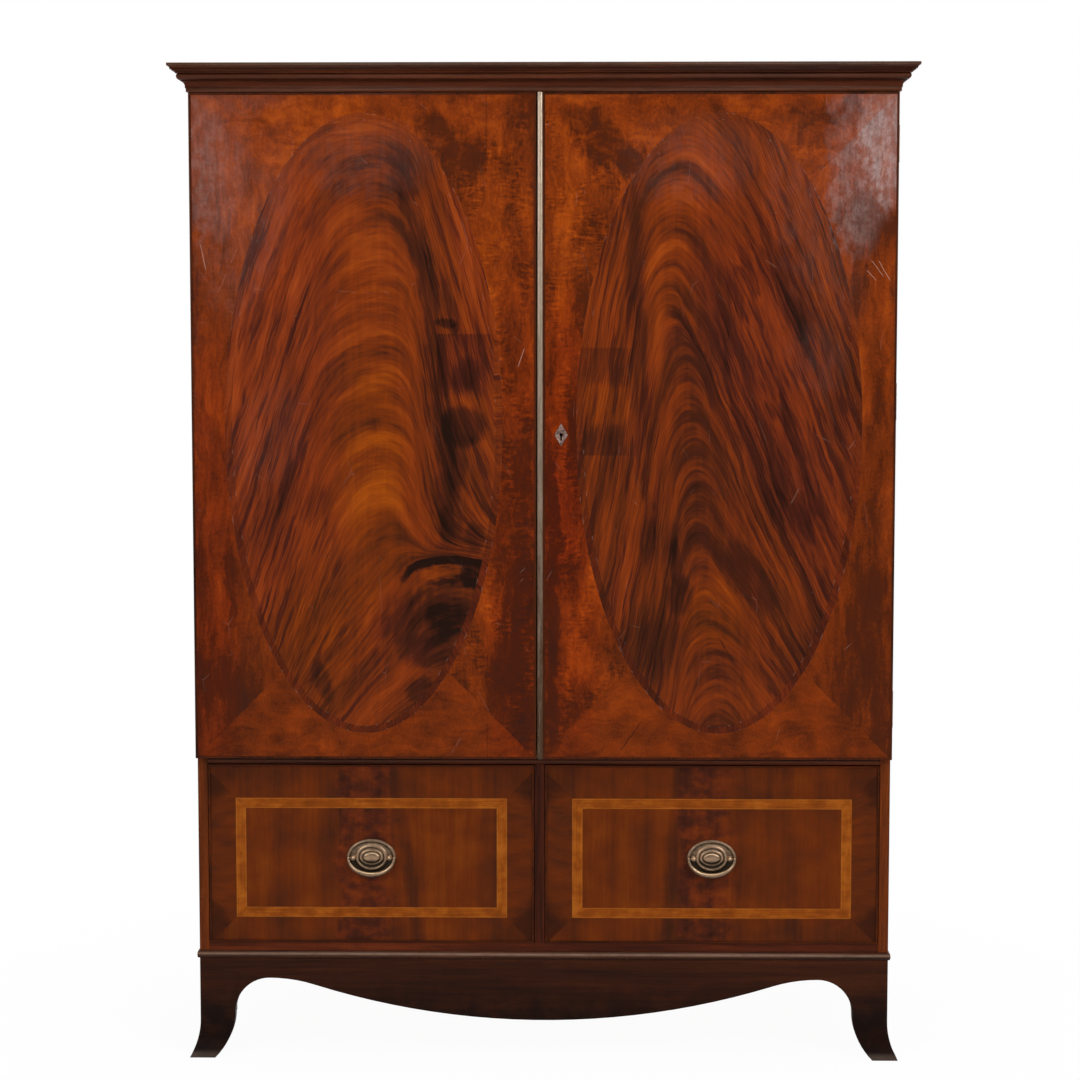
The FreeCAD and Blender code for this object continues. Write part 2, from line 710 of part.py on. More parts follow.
def hinge_side(name, side, of_door):
    """Leaves of one door's hinges, either on the door or on the case.

    Gives the leaves, the cutter for their recesses and screw holes, and the screws."""
    pin_x = f"{side} * pin_side"
    plate_near, plate_far = "knuckle_radius + knuckle_clear", "leaf_width"
    if of_door:
        ys = ("door_back - leaf_thick", "door_back")
        screw_start, screw_axis = "door_back", -1
        own = range(1, KNUCKLES, 2)
    else:
        ys = ("case_front", "case_front + leaf_thick")
        screw_start, screw_axis = "case_front", 1
        own = range(0, KNUCKLES, 2)

    def across(near, far):
        """Distances inward from the pin, as X formulas in rising order."""
        return (f"{pin_x} - ({far})", f"{pin_x} - ({near})") if side > 0 else (
            f"{pin_x} + ({near})", f"{pin_x} + ({far})")

    leaves, recesses, screws = [], [], []
    for number, middle in enumerate(hinge_levels()):
        tag = f"{name}_{number + 1}"
        ends = (f"{middle} - hinge_height / 2", f"{middle} + hinge_height / 2")
        plate = board(f"{tag}_plate", across(plate_near, plate_far), ys, ends)
        pieces, holes = [plate], []
        for knuckle in own:
            low, high = knuckle_span(knuckle, middle)
            low = low if knuckle == 0 else f"{low} + knuckle_clear / 2"
            high = high if knuckle == KNUCKLES - 1 else f"{high} - knuckle_clear / 2"
            length = f"({high}) - ({low})"
            pieces.append(rod(f"{tag}_knuckle_{knuckle}", "z", pin_x, "pin_plane", low,
                              "knuckle_radius", length))
            pieces.append(board(f"{tag}_tab_{knuckle}", across("0", f"{plate_near} + 1"), ys,
                                (low, high)))
        bore = "pin_radius + pin_clear" if of_door else "pin_radius"
        holes.append(rod(f"{tag}_bore", "z", pin_x, "pin_plane", f"{ends[0]} - 1", bore,
                         "hinge_height + 2"))
        for count in range(SCREWS_PER_LEAF):
            level = f"{middle} + hinge_height * {(count - 1) * 0.34:.2f}"
            screw_x = f"{pin_x} - {side} * (leaf_width + knuckle_radius) / 2"
            head = doc.addObject("Part::Cone", f"{tag}_head_{count}")
            head.Placement = Placement(Vector(), TURNS["y"] if screw_axis > 0 else FACING_FRONT)
            bind(head, Radius1="screw_head", Radius2="screw_radius", Height="leaf_thick")
            move(head, screw_x, screw_start, level)
            shank = doc.addObject("Part::Cylinder", f"{tag}_shank_{count}")
            shank.Placement = Placement(Vector(), TURNS["y"] if screw_axis > 0 else FACING_FRONT)
            bind(shank, Radius="screw_radius", Height="screw_length")
            move(shank, screw_x, screw_start, level)
            screws.append(union(f"{tag}_screw_{count}", head, shank))
        leaf = union(f"{tag}_leaf_blank", *pieces)
        leaves.append(cut(f"{tag}_leaf", leaf, *holes, *screws[-SCREWS_PER_LEAF:]))
        recesses.append(board(f"{tag}_recess", across("0", plate_far), ys, ends))
        recesses.append(rod(f"{tag}_relief", "z", pin_x, "pin_plane",
                            f"{ends[0]} - knuckle_clear", "knuckle_radius + knuckle_clear",
                            "hinge_height + 2 * knuckle_clear"))
    cutter = union(f"{name}_cutter", *recesses, *screws)
    return leaves, cutter, screws


def build_hinge_pins(name, side):
    pins = []
    for number, middle in enumerate(hinge_levels()):
        pins.append(rod(f"{name}_pin_{number + 1}", "z", f"{side} * pin_side", "pin_plane",
                        f"{middle} - hinge_height / 2", "pin_radius", "hinge_height"))
    return pins


# ---------------------------------------------------------------- cases
def case_side(name, side, low, high, cutter=None):
    """A case side with a rebate for the back boards."""
    outer, inner = f"{side} * half_width", f"{side} * inner_half"
    xs = (inner, outer) if side > 0 else (outer, inner)
    plank = board(f"{name}_plank", xs, ("case_front", "back_plane"), (low, high))
    step = f"{side} * (inner_half + back_rebate)"
    step_xs = (inner, step) if side > 0 else (step, inner)
    rebate = board(f"{name}_rebate", step_xs, ("board_back", "back_plane"),
                   (f"{low} - 1", f"{high} + 1"))
    tools = [rebate] if cutter is None else [rebate, cutter]
    return cut(name, plank, *tools)


def back_boards(name, low, high):
    """Upright boards side by side, in the rebates of the sides."""
    width = f"2 * (inner_half + back_rebate) / {BACK_BOARDS}"
    start = "-(inner_half + back_rebate)"
    boards = []
    for number in range(BACK_BOARDS):
        xs = (f"{start} + {width} * {number} + 0.25", f"{start} + {width} * {number + 1} - 0.25")
        boards.append(board(f"{name}_{number + 1}", xs, ("board_back", "back_plane"), (low, high)))
    return group(name, *boards)


def build_upper_case(left_cutter, right_cutter):
    span = ("waist_level", "cornice_level")
    node("upper_left_side", case_side("upper_left", -1, *span, left_cutter))
    node("upper_right_side", case_side("upper_right", 1, *span, right_cutter))
    inside = ("-inner_half", "inner_half")
    deep = ("case_front", "board_back")
    top = board("upper_top", inside, deep, ("cupboard_head", "cornice_level"))
    bottom = board("upper_bottom", inside, deep, ("waist_level", "cupboard_floor"))
    reach = "rod_throw + 1"
    hole_up = rod("top_bolt_hole", "z", "rod_side", "rod_plane", "cupboard_head - 1",
                  "rod_radius + slide_clear", reach)
    hole_down = rod("bottom_bolt_hole", "z", "rod_side", "rod_plane",
                    "cupboard_floor - rod_throw", "rod_radius + slide_clear", reach)
    node("upper_top_board", cut("upper_top_drilled", top, hole_up))
    node("upper_bottom_board", cut("upper_bottom_drilled", bottom, hole_down))
    node("upper_back_boards", back_boards("upper_backs", *span))


def tray_base(number):
    """Formula of the level on which a tray's runners stand."""
    return f"cupboard_floor + (cupboard_head - cupboard_floor) * {number} / {TRAYS}"


def build_trays():
    """Sliding trays with low fronts, on runners screwed to the case sides."""
    runners = []
    front = "case_front + tray_set_back"
    back = "board_back - tray_behind"
    outer = "inner_half - tray_clear"
    for number in range(TRAYS):
        base = tray_base(number)
        tag = f"tray_{number + 1}"
        for side, xs in (
            ("left", ("-inner_half", "runner_width - inner_half")),
            ("right", ("inner_half - runner_width", "inner_half")),
        ):
            runners.append(board(f"{tag}_{side}_runner", xs, (front, "board_back"),
                                 (base, f"{base} + runner_height")))
        low = f"{base} + runner_height + runner_clear"
        walls = f"{low} + tray_floor"
        bottom = board(f"{tag}_bottom", (f"-({outer})", outer), (front, back), (low, walls))
        left = board(f"{tag}_left", (f"-({outer})", f"tray_board - ({outer})"), (front, back),
                     (walls, f"{walls} + tray_high"))
        right = board(f"{tag}_right", (f"{outer} - tray_board", outer), (front, back),
                      (walls, f"{walls} + tray_high"))
        ledge = board(f"{tag}_ledge", (f"-({outer}) - 1", f"{outer} + 1"),
                      (f"{front} - 1", f"{front} + tray_ledge"),
                      (f"{walls} + tray_low", f"{walls} + tray_high + 1"))
        scoop = rod(f"{tag}_scoop", "x", f"-({outer}) - 1", f"{front} + tray_ledge",
                    f"{walls} + tray_high", "tray_high - tray_low", f"2 * ({outer}) + 2")
        sides = cut(f"{tag}_sides", group(f"{tag}_side_pair", left, right), ledge, scoop)
        between = (f"tray_board - ({outer})", f"{outer} - tray_board")
        low_front = board(f"{tag}_front", between, (front, f"{front} + tray_board"),
                          (walls, f"{walls} + tray_low"))
        high_back = board(f"{tag}_back", between, (f"{back} - tray_board", back),
                          (walls, f"{walls} + tray_high"))
        node(tag, group(f"{tag}_boards", bottom, sides, low_front, high_back))
    node("tray_runners", group("tray_runner_set", *runners))


def build_lower_case():
    span = ("lower_level", "waist_level")
    node("lower_left_side", case_side("lower_left", -1, *span))
    node("lower_right_side", case_side("lower_right", 1, *span))
    inside = ("-inner_half", "inner_half")
    behind = ("case_front + rail_depth", "board_back")
    rail = ("case_front", "case_front + rail_depth")
    top = ("drawer_top_level", "waist_level")
    bottom = ("lower_level", "drawer_floor_level")
    opening = ("drawer_floor_level", "drawer_top_level")
    divider = ("divider_left", "divider_right")
    node("lower_top_board", board("lower_top", inside, behind, top))
    node("lower_bottom_board", board("lower_bottom", inside, behind, bottom))
    top_rail = board("top_rail_strip", inside, rail, top)
    bottom_rail = board("bottom_rail_strip", inside, rail, bottom)
    node("front_rails", group("front_rail_pair", top_rail, bottom_rail))
    post = board("divider_post", divider, rail, opening)
    wall = board("partition_wall", divider, behind, opening)
    node("drawer_partition", group("divider_and_partition", post, wall))
    node("lower_back_boards", back_boards("lower_backs", *span))

    stops = []
    stop_ys = ("drawer_core_back + 0.3", "drawer_core_back + 14")
    stop_zs = ("drawer_floor_level", "drawer_floor_level + stop_height")
    for tag, edge, direction in (
        ("left_outer", "-inner_half", 1), ("left_inner", "divider_left", -1),
        ("right_inner", "divider_right", 1), ("right_outer", "inner_half", -1),
    ):
        near, far = f"{edge} + {direction} * 60", f"{edge} + {direction} * 110"
        xs = (near, far) if direction > 0 else (far, near)
        stops.append(board(f"{tag}_stop", xs, stop_ys, stop_zs))
    node("drawer_stops", group("drawer_stop_set", *stops))


# ---------------------------------------------------------------- doors
def door_leafwork(name, xs, zs):
    """Veneer and beads on the front of a door: spandrels, ring, oval and edge beads."""
    half_door = f"(({xs[1]}) - ({xs[0]})) / 2"
    middle = f"(({xs[0]}) + ({xs[1]})) / 2"
    face_xs = (f"{xs[0]} + edge_bead", f"{xs[1]} - edge_bead")
    face_zs = (f"{zs[0]} + edge_bead", f"{zs[1]} - edge_bead")
    oval_half_x = f"{half_door} - oval_side"
    reach = f"{half_door} - edge_bead - 1"
    strips = mitred_frame(f"{name}_spandrel", face_xs, face_zs, (reach,) * 4, "core_face", "veneer")
    hole = oval(f"{name}_oval_hole", middle, "core_face + 1", "oval_level", oval_half_x,
                "oval_half", "veneer + 2", True)
    spandrels = [cut(f"{name}_spandrel_cut_{n + 1}", strip, hole) for n, strip in enumerate(strips)]
    outer = oval(f"{name}_ring_outer", middle, "core_face", "oval_level", oval_half_x,
                 "oval_half", "veneer", True)
    inner_x, inner_z = f"{oval_half_x} - ring_width", "oval_half - ring_width"
    ring_hole = oval(f"{name}_ring_hole", middle, "core_face + 1", "oval_level", inner_x,
                     inner_z, "veneer + 2", True)
    ring = cut(f"{name}_ring", outer, ring_hole)
    flame = oval(f"{name}_flame", middle, "core_face", "oval_level", inner_x, inner_z,
                 "veneer", True)
    beads = mitred_frame(f"{name}_bead", xs, zs, ("edge_bead",) * 4,
                         "door_face - edge_bead_proud + edge_bead_depth", "edge_bead_depth")
    return spandrels, (ring, flame), beads


def bead_channel(name, xs, zs):
    """What the edge beads take out of a door's core: a rebate round its front."""
    depth = ("core_face - 1", "door_face - edge_bead_proud + edge_bead_depth")
    outside = board(f"{name}_channel_outside", (f"{xs[0]} - 1", f"{xs[1]} + 1"), depth,
                    (f"{zs[0]} - 1", f"{zs[1]} + 1"))
    inside = board(f"{name}_channel_inside", (f"{xs[0]} + edge_bead", f"{xs[1]} - edge_bead"),
                   (f"{depth[0]} - 1", f"{depth[1]} + 1"),
                   (f"{zs[0]} + edge_bead", f"{zs[1]} - edge_bead"))
    return cut(f"{name}_channel", outside, inside)


def door_frame(name, xs, zs, channel, left_tools, right_tools):
    """Stiles, three rails and two flat panels, flush at the front."""
    deep = ("core_face", "door_back")
    inner = (f"{xs[0]} + stile_width", f"{xs[1]} - stile_width")
    left = board(f"{name}_left_stile", (xs[0], inner[0]), deep, zs)
    right = board(f"{name}_right_stile", (inner[1], xs[1]), deep, zs)
    pieces = [
        cut(f"{name}_left_stile_cut", left, channel, *left_tools),
        cut(f"{name}_right_stile_cut", right, channel, *right_tools),
    ]
    middle = f"({zs[0]} + {zs[1]}) / 2"
    rails = (
        (zs[0], f"{zs[0]} + stile_width"),
        (f"{middle} - stile_width / 2", f"{middle} + stile_width / 2"),
        (f"{zs[1]} - stile_width", zs[1]),
    )
    for number, span in enumerate(rails):
        rail = board(f"{name}_rail_{number + 1}", inner, deep, span)
        pieces.append(cut(f"{name}_rail_cut_{number + 1}", rail, channel))
    panel_deep = ("core_face", "core_face + panel_thick")
    for number in range(2):
        span = (rails[number][1], rails[number + 1][0])
        pieces.append(board(f"{name}_panel_{number + 1}", inner, panel_deep, span))
    return pieces


def bolt_guide(name, low, high):
    """Plate and two staples that hold one sliding bolt on the left door's back."""
    xs = ("rod_side - guide_width / 2", "rod_side + guide_width / 2")
    plate = board(f"{name}_plate", xs, ("door_back", "door_back + guide_wall"), (low, high))
    pieces = [plate]
    staple_xs = ("rod_side - rod_radius - 3", "rod_side + rod_radius + 3")
    staple_ys = ("door_back", "rod_plane + rod_radius + 2.5")
    for number, (start, stop) in enumerate(((low, f"{low} + 14"), (f"{high} - 14", high))):
        pieces.append(board(f"{name}_staple_{number}", staple_xs, staple_ys, (start, stop)))
    way = rod(f"{name}_way", "z", "rod_side", "rod_plane", f"{low} - 1",
              "rod_radius + slide_clear", f"({high}) - ({low}) + 2")
    return cut(name, union(f"{name}_blank", *pieces), way)


def sliding_bolt(name, low, knob_level):
    """Round bolt with a turned knob."""
    shaft = rod(f"{name}_shaft", "z", "rod_side", "rod_plane", low, "rod_radius", "rod_length")
    stem = rod(f"{name}_stem", "y", "rod_side", "rod_plane", knob_level, "knob_radius / 2",
               "rod_radius + 6")
    knob = doc.addObject("Part::Sphere", f"{name}_knob")
    bind(knob, Radius="knob_radius")
    move(knob, "rod_side", "rod_plane + rod_radius + 6", knob_level)
    return union(name, shaft, stem, knob)


def build_left_door(leaves, cutter, screws):
    """Left door: held by its top and bottom bolts, with the strike plate in its edge."""
    xs = ("-half_width", "left_edge")
    zs = ("door_foot", "door_head")
    half_bolt = "(bolt_height / 2 + slide_clear)"
    mortise_zs = (f"lock_level - {half_bolt}", f"lock_level + {half_bolt}")
    bolt_ys = ("lock_middle - 2.5 - slide_clear", "lock_middle + 2.5 + slide_clear")
    mortise = board("strike_mortise", ("left_edge - 14", "left_edge + 1"), bolt_ys, mortise_zs)
    plate_zs = ("lock_level - lock_height / 2", "lock_level + lock_height / 2")
    plate_xs = ("left_edge - plate_thick", "left_edge")
    plate_ys = ("lock_face", "door_back - 1")
    plate = board("strike_blank", plate_xs, plate_ys, plate_zs)
    bed = board("strike_bed", plate_xs, plate_ys, plate_zs)
    node("strike_plate", cut("strike_pierced", plate, mortise))
    channel = bead_channel("left_door", xs, zs)
    frame = door_frame("left_door", xs, zs, channel, [cutter], [mortise, bed])
    node("left_door_core", group("left_door_boards", *frame))
    spandrels, centre, beads = door_leafwork("left_door", xs, zs)
    node("left_door_spandrels", group("left_spandrel_set", *spandrels))
    node("left_door_oval", group("left_oval_set", *centre))
    node("left_door_edge_beads", group("left_bead_set", *beads))
    node("left_door_hinge_leaves", group("left_door_hinges", *leaves, *screws))

    top_low = "cupboard_head - rod_length - 3"
    bottom_low = "cupboard_floor + 3"
    guides = [
        bolt_guide("top_guide", f"{top_low} + 6", "cupboard_head - 12"),
        bolt_guide("bottom_guide", "cupboard_floor + 12", f"{bottom_low} + rod_length - 6"),
    ]
    node("bolt_guides", group("bolt_guide_pair", *guides))
    node("top_bolt", sliding_bolt("top_bolt_rod", top_low, f"{top_low} + rod_length / 2 - 7"))
    node("bottom_bolt", sliding_bolt("bottom_bolt_rod", bottom_low,
                                     f"{bottom_low} + rod_length / 2 + 7"))


def keyhole_cutter():
    """Round eye and straight slot, from the front of the door into the lock case."""
    ys = ("door_face - 5", "lock_face + lock_wall + 0.2")
    eye = rod("keyhole_eye", "y", "keyhole", ys[0], "lock_level", "3", f"({ys[1]}) - ({ys[0]})")
    slot = board("keyhole_slot", ("keyhole - 1.3", "keyhole + 1.3"), ys,
                 ("lock_level - 10", "lock_level"))
    return union("keyhole_cut", eye, slot)


def build_closing_strip():
    """Brass strip with a rounded front, let into the right door's meeting edge."""
    left, right = value("strip_left"), value("meeting_shift")
    back = value("core_face + strip_depth")
    front = value("door_face - strip_proud")
    shoulder = front + 2.2
    body = body_named("closing_strip_body")
    section = sketch(body, "closing_strip_section", "XY_Plane", closed([
        (left, back),
        (right, back),
        (right, shoulder),
        (((left + right) / 2, front), (left, shoulder)),
    ]))
    bind(section, AttachmentOffset_at_Base_at_z="door_foot")
    pad(body, "closing_strip_length", section, "door_head - door_foot")
    node("closing_strip", body)


def build_escutcheon(hole):
    """Pierced lozenge plate with hollow sides."""
    x, z = value("keyhole"), value("lock_level")
    wide, high = value("escutcheon_half_width"), value("escutcheon_half_height")
    corners = [(0, -high), (wide, 0), (0, high), (-wide, 0), (0, -high)]
    steps = [(x, z - high)]
    for here, there in zip(corners, corners[1:]):
        hollow = (x + (here[0] + there[0]) * 0.44, z + (here[1] + there[1]) * 0.44)
        steps.append((hollow, (x + there[0], z + there[1])))
    body = body_named("escutcheon_body")
    outline = sketch(body, "escutcheon_outline", "XZ_Plane", steps)
    bind(outline, AttachmentOffset_at_Base_at_z="-door_face")
    pad(body, "escutcheon_sheet", outline, "plate_thick")
    node("escutcheon", cut("escutcheon_pierced", body, hole))


def build_lock(hole):
    """Lock let into the back of the right door's meeting stile, and its bolt."""
    xs = ("strip_left", "strip_left + lock_length")
    ys = ("lock_face", "door_back")
    zs = ("lock_level - lock_height / 2", "lock_level + lock_height / 2")
    shell = board("lock_shell", xs, ys, zs)
    hollow = board("lock_hollow", ("strip_left + 2", f"{xs[1]} - lock_wall"),
                   (f"{ys[0]} + lock_wall", f"{ys[1]} - lock_wall"),
                   (f"{zs[0]} + lock_wall", f"{zs[1]} - lock_wall"))
    bolt_zs = ("lock_level - bolt_height / 2", "lock_level + bolt_height / 2")
    bolt_ys = ("lock_middle - 2.5", "lock_middle + 2.5")
    way = board("lock_way", ("strip_left - 1", "strip_left + 3"),
                (f"{bolt_ys[0]} - slide_clear", f"{bolt_ys[1]} + slide_clear"),
                (f"{bolt_zs[0]} - slide_clear", f"{bolt_zs[1]} + slide_clear"))
    node("lock_case", cut("lock_case_open", shell, hollow, way, hole))
    bolt_xs = ("strip_left + 0.3", "strip_left + lock_length / 2")
    node("lock_bolt", board("lock_bolt_bar", bolt_xs, bolt_ys, bolt_zs))
    return board("lock_mortise", xs, (ys[0], f"{ys[1]} + 1"), zs)


def build_right_door(leaves, cutter, screws):
    """Right door: carries the lock, the escutcheon and the closing strip."""
    xs = ("meeting_shift", "half_width")
    zs = ("door_foot", "door_head")
    hole = keyhole_cutter()
    mortise = build_lock(hole)
    build_closing_strip()
    build_escutcheon(hole)
    channel = bead_channel("right_door", xs, zs)
    frame = door_frame("right_door", xs, zs, channel, [mortise, hole], [cutter])
    lip = board("right_door_lip", ("strip_left", "meeting_shift"),
                ("core_face + strip_depth", "door_back"), zs)
    frame[0] = cut("right_door_meeting_stile", union("right_door_stile_and_lip", frame[0], lip),
                   mortise)
    node("right_door_core", group("right_door_boards", *frame))
    spandrels, centre, beads = door_leafwork("right_door", xs, zs)
    left_piece = len(spandrels) - 1
    spandrels[left_piece] = cut("right_spandrel_keyed", spandrels[left_piece], hole)
    node("right_door_spandrels", group("right_spandrel_set", *spandrels))
    node("right_door_oval", group("right_oval_set", *centre))
    node("right_door_edge_beads", group("right_bead_set", *beads))
    node("right_door_hinge_leaves", group("right_door_hinges", *leaves, *screws))


# ---------------------------------------------------------------- drawers
def handle_plate(name, middle):
    """Stamped oval plate, two posts with ball heads, and their nuts inside."""
    # Inset from the sheet's edge in width and height, rise above the sheet, band width.
    layers = (
        ("sheet", "0", "0", "0", None),
        ("rim", "0", "0", "1.2", "3.6"),
        ("ring", "9.5", "9", "1.4", "4.2"),
        ("inner_ring", "18", "16.6", "1.2", "2.6"),
        ("boss", "29", "25.4", "2.2", None),
    )
    pieces = []
    for layer, inset_x, inset_z, rise, band in layers:
        tag = f"{name}_{layer}"
        half_x = f"plate_half_width - {inset_x}"
        half_z = f"plate_half_height - {inset_z}"
        thick = f"plate_sheet + {rise}"
        solid = oval(tag, middle, "case_front", "handle_level", half_x, half_z, thick, False)
        if band:
            hole = oval(f"{tag}_hole", middle, "case_front + 1", "handle_level",
                        f"{half_x} - {band}", f"{half_z} - {band}", f"{thick} + 2", False)
            solid = cut(f"{tag}_band", solid, hole)
        pieces.append(solid)
    shanks, posts = [], []
    for end, way in (("left", -1), ("right", 1)):
        x = f"{middle} + {way} * post_spacing / 2"
        shank = rod(f"{name}_{end}_shank", "y", x, "handle_plane", "handle_level", "post_radius",
                    "drawer_core_back + 7 - handle_plane")
        shanks.append(shank)
        neck = rod(f"{name}_{end}_neck", "y", x, "handle_plane", "handle_level", "3.4",
                   "case_front - plate_sheet - handle_plane")
        head = doc.addObject("Part::Sphere", f"{name}_{end}_head")
        bind(head, Radius="post_head")
        move(head, x, "handle_plane", "handle_level")
        bore = rod(f"{name}_{end}_bore", "x", f"{x} - post_head - 1", "handle_plane",
                   "handle_level", "bail_pin + bail_clear", "2 * post_head + 2")
        turned = union(f"{name}_{end}_turned", shank, neck, head)
        posts.append(cut(f"{name}_{end}_post", turned, bore))
    plate = cut(f"{name}_sheet_drilled", union(f"{name}_stamped", *pieces), *posts)
    nuts = []
    for end, way, shank in (("left", -1, shanks[0]), ("right", 1, shanks[1])):
        x = f"{middle} + {way} * post_spacing / 2"
        block = board(f"{name}_{end}_nut_block", (f"{x} - 5", f"{x} + 5"),
                      ("drawer_core_back", "drawer_core_back + 4"),
                      ("handle_level - 5", "handle_level + 5"))
        nuts.append(cut(f"{name}_{end}_nut", block, shank))
    return group(name, plate, *posts, *nuts), shanks


def bail(name, middle):
    """Swinging bail: a half oval bar that swells at the bottom, with two inward pins."""
    half_width, drop = value("bail_half_width"), value("bail_drop")
    thin, thick = value("bail_end"), value("bail_middle")
    body = body_named(f"{name}_bar")
    hoops = []
    for step in range(BAIL_HOOPS):
        angle = math.pi * step / (BAIL_HOOPS - 1)
        across, down = -math.cos(angle), -math.sin(angle)
        hoop = body.newObject("Sketcher::SketchObject", f"{name}_hoop_{step + 1}")
        hoop.AttachmentSupport = [(plane_of(body, "XY_Plane"), "")]
        hoop.MapMode = "FlatFace"
        along = Vector(-half_width * down, 0, drop * across)
        hoop.AttachmentOffset = Placement(Vector(), Rotation(Vector(0, 0, 1), along))
        bind(
            hoop,
            AttachmentOffset_at_Base_at_x=f"{middle} + bail_half_width * ({across:.6f})",
            AttachmentOffset_at_Base_at_y="handle_plane",
            AttachmentOffset_at_Base_at_z=f"handle_level + bail_drop * ({down:.6f})",
        )
        radius = thin + (thick - thin) * math.sin(angle) ** 1.4
        hoop.addGeometry(Part.Circle(Vector(), Vector(0, 0, 1), radius))
        hoops.append(hoop)
    loft = body.newObject("PartDesign::AdditiveLoft", f"{name}_swell")
    loft.Profile = hoops[0]
    loft.Sections = hoops[1:]
    pieces = [body]
    pin_start = "post_spacing / 2 - post_head + 1"
    for end, way in (("left", -1), ("right", 1)):
        start = pin_start if way > 0 else "-bail_half_width"
        pieces.append(rod(f"{name}_{end}_pin", "x", f"{middle} + {start}", "handle_plane",
                          "handle_level", "bail_pin", f"bail_half_width - ({pin_start})"))
        elbow = doc.addObject("Part::Sphere", f"{name}_{end}_elbow")
        bind(elbow, Radius="bail_end")
        pieces.append(move(elbow, f"{middle} + {way} * bail_half_width", "handle_plane",
                           "handle_level"))
    return union(name, *pieces)


def build_drawer(name, opening):
    """One drawer that fills its opening, with its veneered front and handle."""
    xs = (f"{opening[0]} + drawer_gap", f"{opening[1]} - drawer_gap")
    zs = ("drawer_floor_level + drawer_foot", "drawer_top_level - drawer_head")
    face_xs = (f"{xs[0]} + cock_bead", f"{xs[1]} - cock_bead")
    face_zs = (f"{zs[0]} + cock_bead", f"{zs[1]} - cock_bead")
    bead_back = "case_front - cock_bead_proud + cock_bead_depth"
    middle = f"(({opening[0]}) + ({opening[1]})) / 2"
    plate, shanks = handle_plate(f"{name}_plate", middle)

    front = union(
        f"{name}_front_blank",
        board(f"{name}_front_face", face_xs, ("drawer_core_face", "drawer_core_back"), face_zs),
        board(f"{name}_front_back", xs, (bead_back, "drawer_core_back"), zs),
    )
    front = cut(f"{name}_front", front, *shanks)
    side_top = f"{zs[1]} - side_drop"
    back_end = "board_back - drawer_behind"
    left = board(f"{name}_left", (xs[0], f"{xs[0]} + drawer_side"), ("drawer_core_back", back_end),
                 (zs[0], side_top))
    right = board(f"{name}_right", (f"{xs[1]} - drawer_side", xs[1]),
                  ("drawer_core_back", back_end), (zs[0], side_top))
    inner = (f"{xs[0]} + drawer_side", f"{xs[1]} - drawer_side")
    floor_top = f"{zs[0]} + floor_raise + drawer_floor"
    floor = board(f"{name}_floor", inner, ("drawer_core_back", back_end),
                  (f"{zs[0]} + floor_raise", floor_top))
    back = board(f"{name}_back", inner, (f"{back_end} - drawer_side", back_end),
                 (floor_top, side_top))
    node(f"{name}_box", group(f"{name}_boards", front, left, right, floor, back))

    inlay_xs = (f"{face_xs[0]} + inlay_side", f"{face_xs[1]} - inlay_side")
    inlay_zs = (f"{face_zs[0]} + inlay_bottom", f"{face_zs[1]} - inlay_top")
    border = mitred_frame(f"{name}_border", face_xs, face_zs,
                          ("inlay_bottom", "inlay_side", "inlay_top", "inlay_side"),
                          "drawer_core_face", "veneer")
    field_xs = (f"{inlay_xs[0]} + inlay_width", f"{inlay_xs[1]} - inlay_width")
    field_zs = (f"{inlay_zs[0]} + inlay_width", f"{inlay_zs[1]} - inlay_width")
    field = board(f"{name}_field", field_xs, ("case_front", "drawer_core_face"), field_zs)
    drilled = cut(f"{name}_field_drilled", field, *shanks)
    node(f"{name}_veneer", group(f"{name}_veneers", drilled, *border))
    inlay = mitred_frame(f"{name}_banding", inlay_xs, inlay_zs, ("inlay_width",) * 4,
                         "drawer_core_face", "veneer")
    node(f"{name}_inlay", group(f"{name}_inlays", *inlay))
    beads = mitred_frame(f"{name}_cock_bead", xs, zs, ("cock_bead",) * 4, bead_back,
                         "cock_bead_depth")
    node(f"{name}_cock_beads", group(f"{name}_beads", *beads))
    node(f"{name}_handle_plate", plate)
    node(f"{name}_handle_bail", bail(f"{name}_bail", middle))


# ---------------------------------------------------------------- whole press
def build_press():
    build_cornice()
    hinge_parts = {}
    for name, side in (("left", -1), ("right", 1)):
        hinge_parts[name] = (
            hinge_side(f"{name}_case_hinge", side, False),
            hinge_side(f"{name}_door_hinge", side, True),
            build_hinge_pins(name, side),
        )
    build_upper_case(hinge_parts["left"][0][1], hinge_parts["right"][0][1])
    case_metal = []
    for name in ("left", "right"):
        leaves, cutter, screws = hinge_parts[name][0]
        case_metal += leaves + hinge_parts[name][2] + screws
    node("case_hinge_leaves", group("case_hinge_set", *case_metal))
    build_trays()
    build_lower_case()
    build_base_bead()
    build_feet()
    build_left_door(*hinge_parts["left"][1])
    build_right_door(*hinge_parts["right"][1])
    build_drawer("left_drawer", ("-inner_half", "divider_left"))
    build_drawer("right_drawer", ("divider_right", "inner_half"))


def check_and_export():
    """Stops on any failed object or bad shape, then writes one file for each sub-part."""
    doc.recompute()
    for obj in doc.Objects:
        if "Invalid" in obj.State or "Error" in obj.State:
            raise RuntimeError(f"{obj.Name} failed: {obj.State}")
    os.makedirs("parts", exist_ok=True)
    for obj in nodes:
        shape = obj.Shape
        if shape.isNull() or not shape.isValid() or not shape.Solids:
            raise RuntimeError(f"{obj.Label} has no valid solid")
        shape.exportStep(f"parts/{obj.Label}.step")
        print(obj.Label, len(shape.Solids), "solids", round(shape.Volume / 1000, 2), "cm3")
    print(len(nodes), "sub-parts")


build_press()
check_and_export()
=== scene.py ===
"""Looks of a two-part linen press: flame-veneered doors, banded drawers, brass, stage and camera.

Laid out as an add-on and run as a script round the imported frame. Lengths inside the helpers
are millimetres in the press's own frame: X to the right, Y to the back, Z up.
"""

import math
from functools import reduce

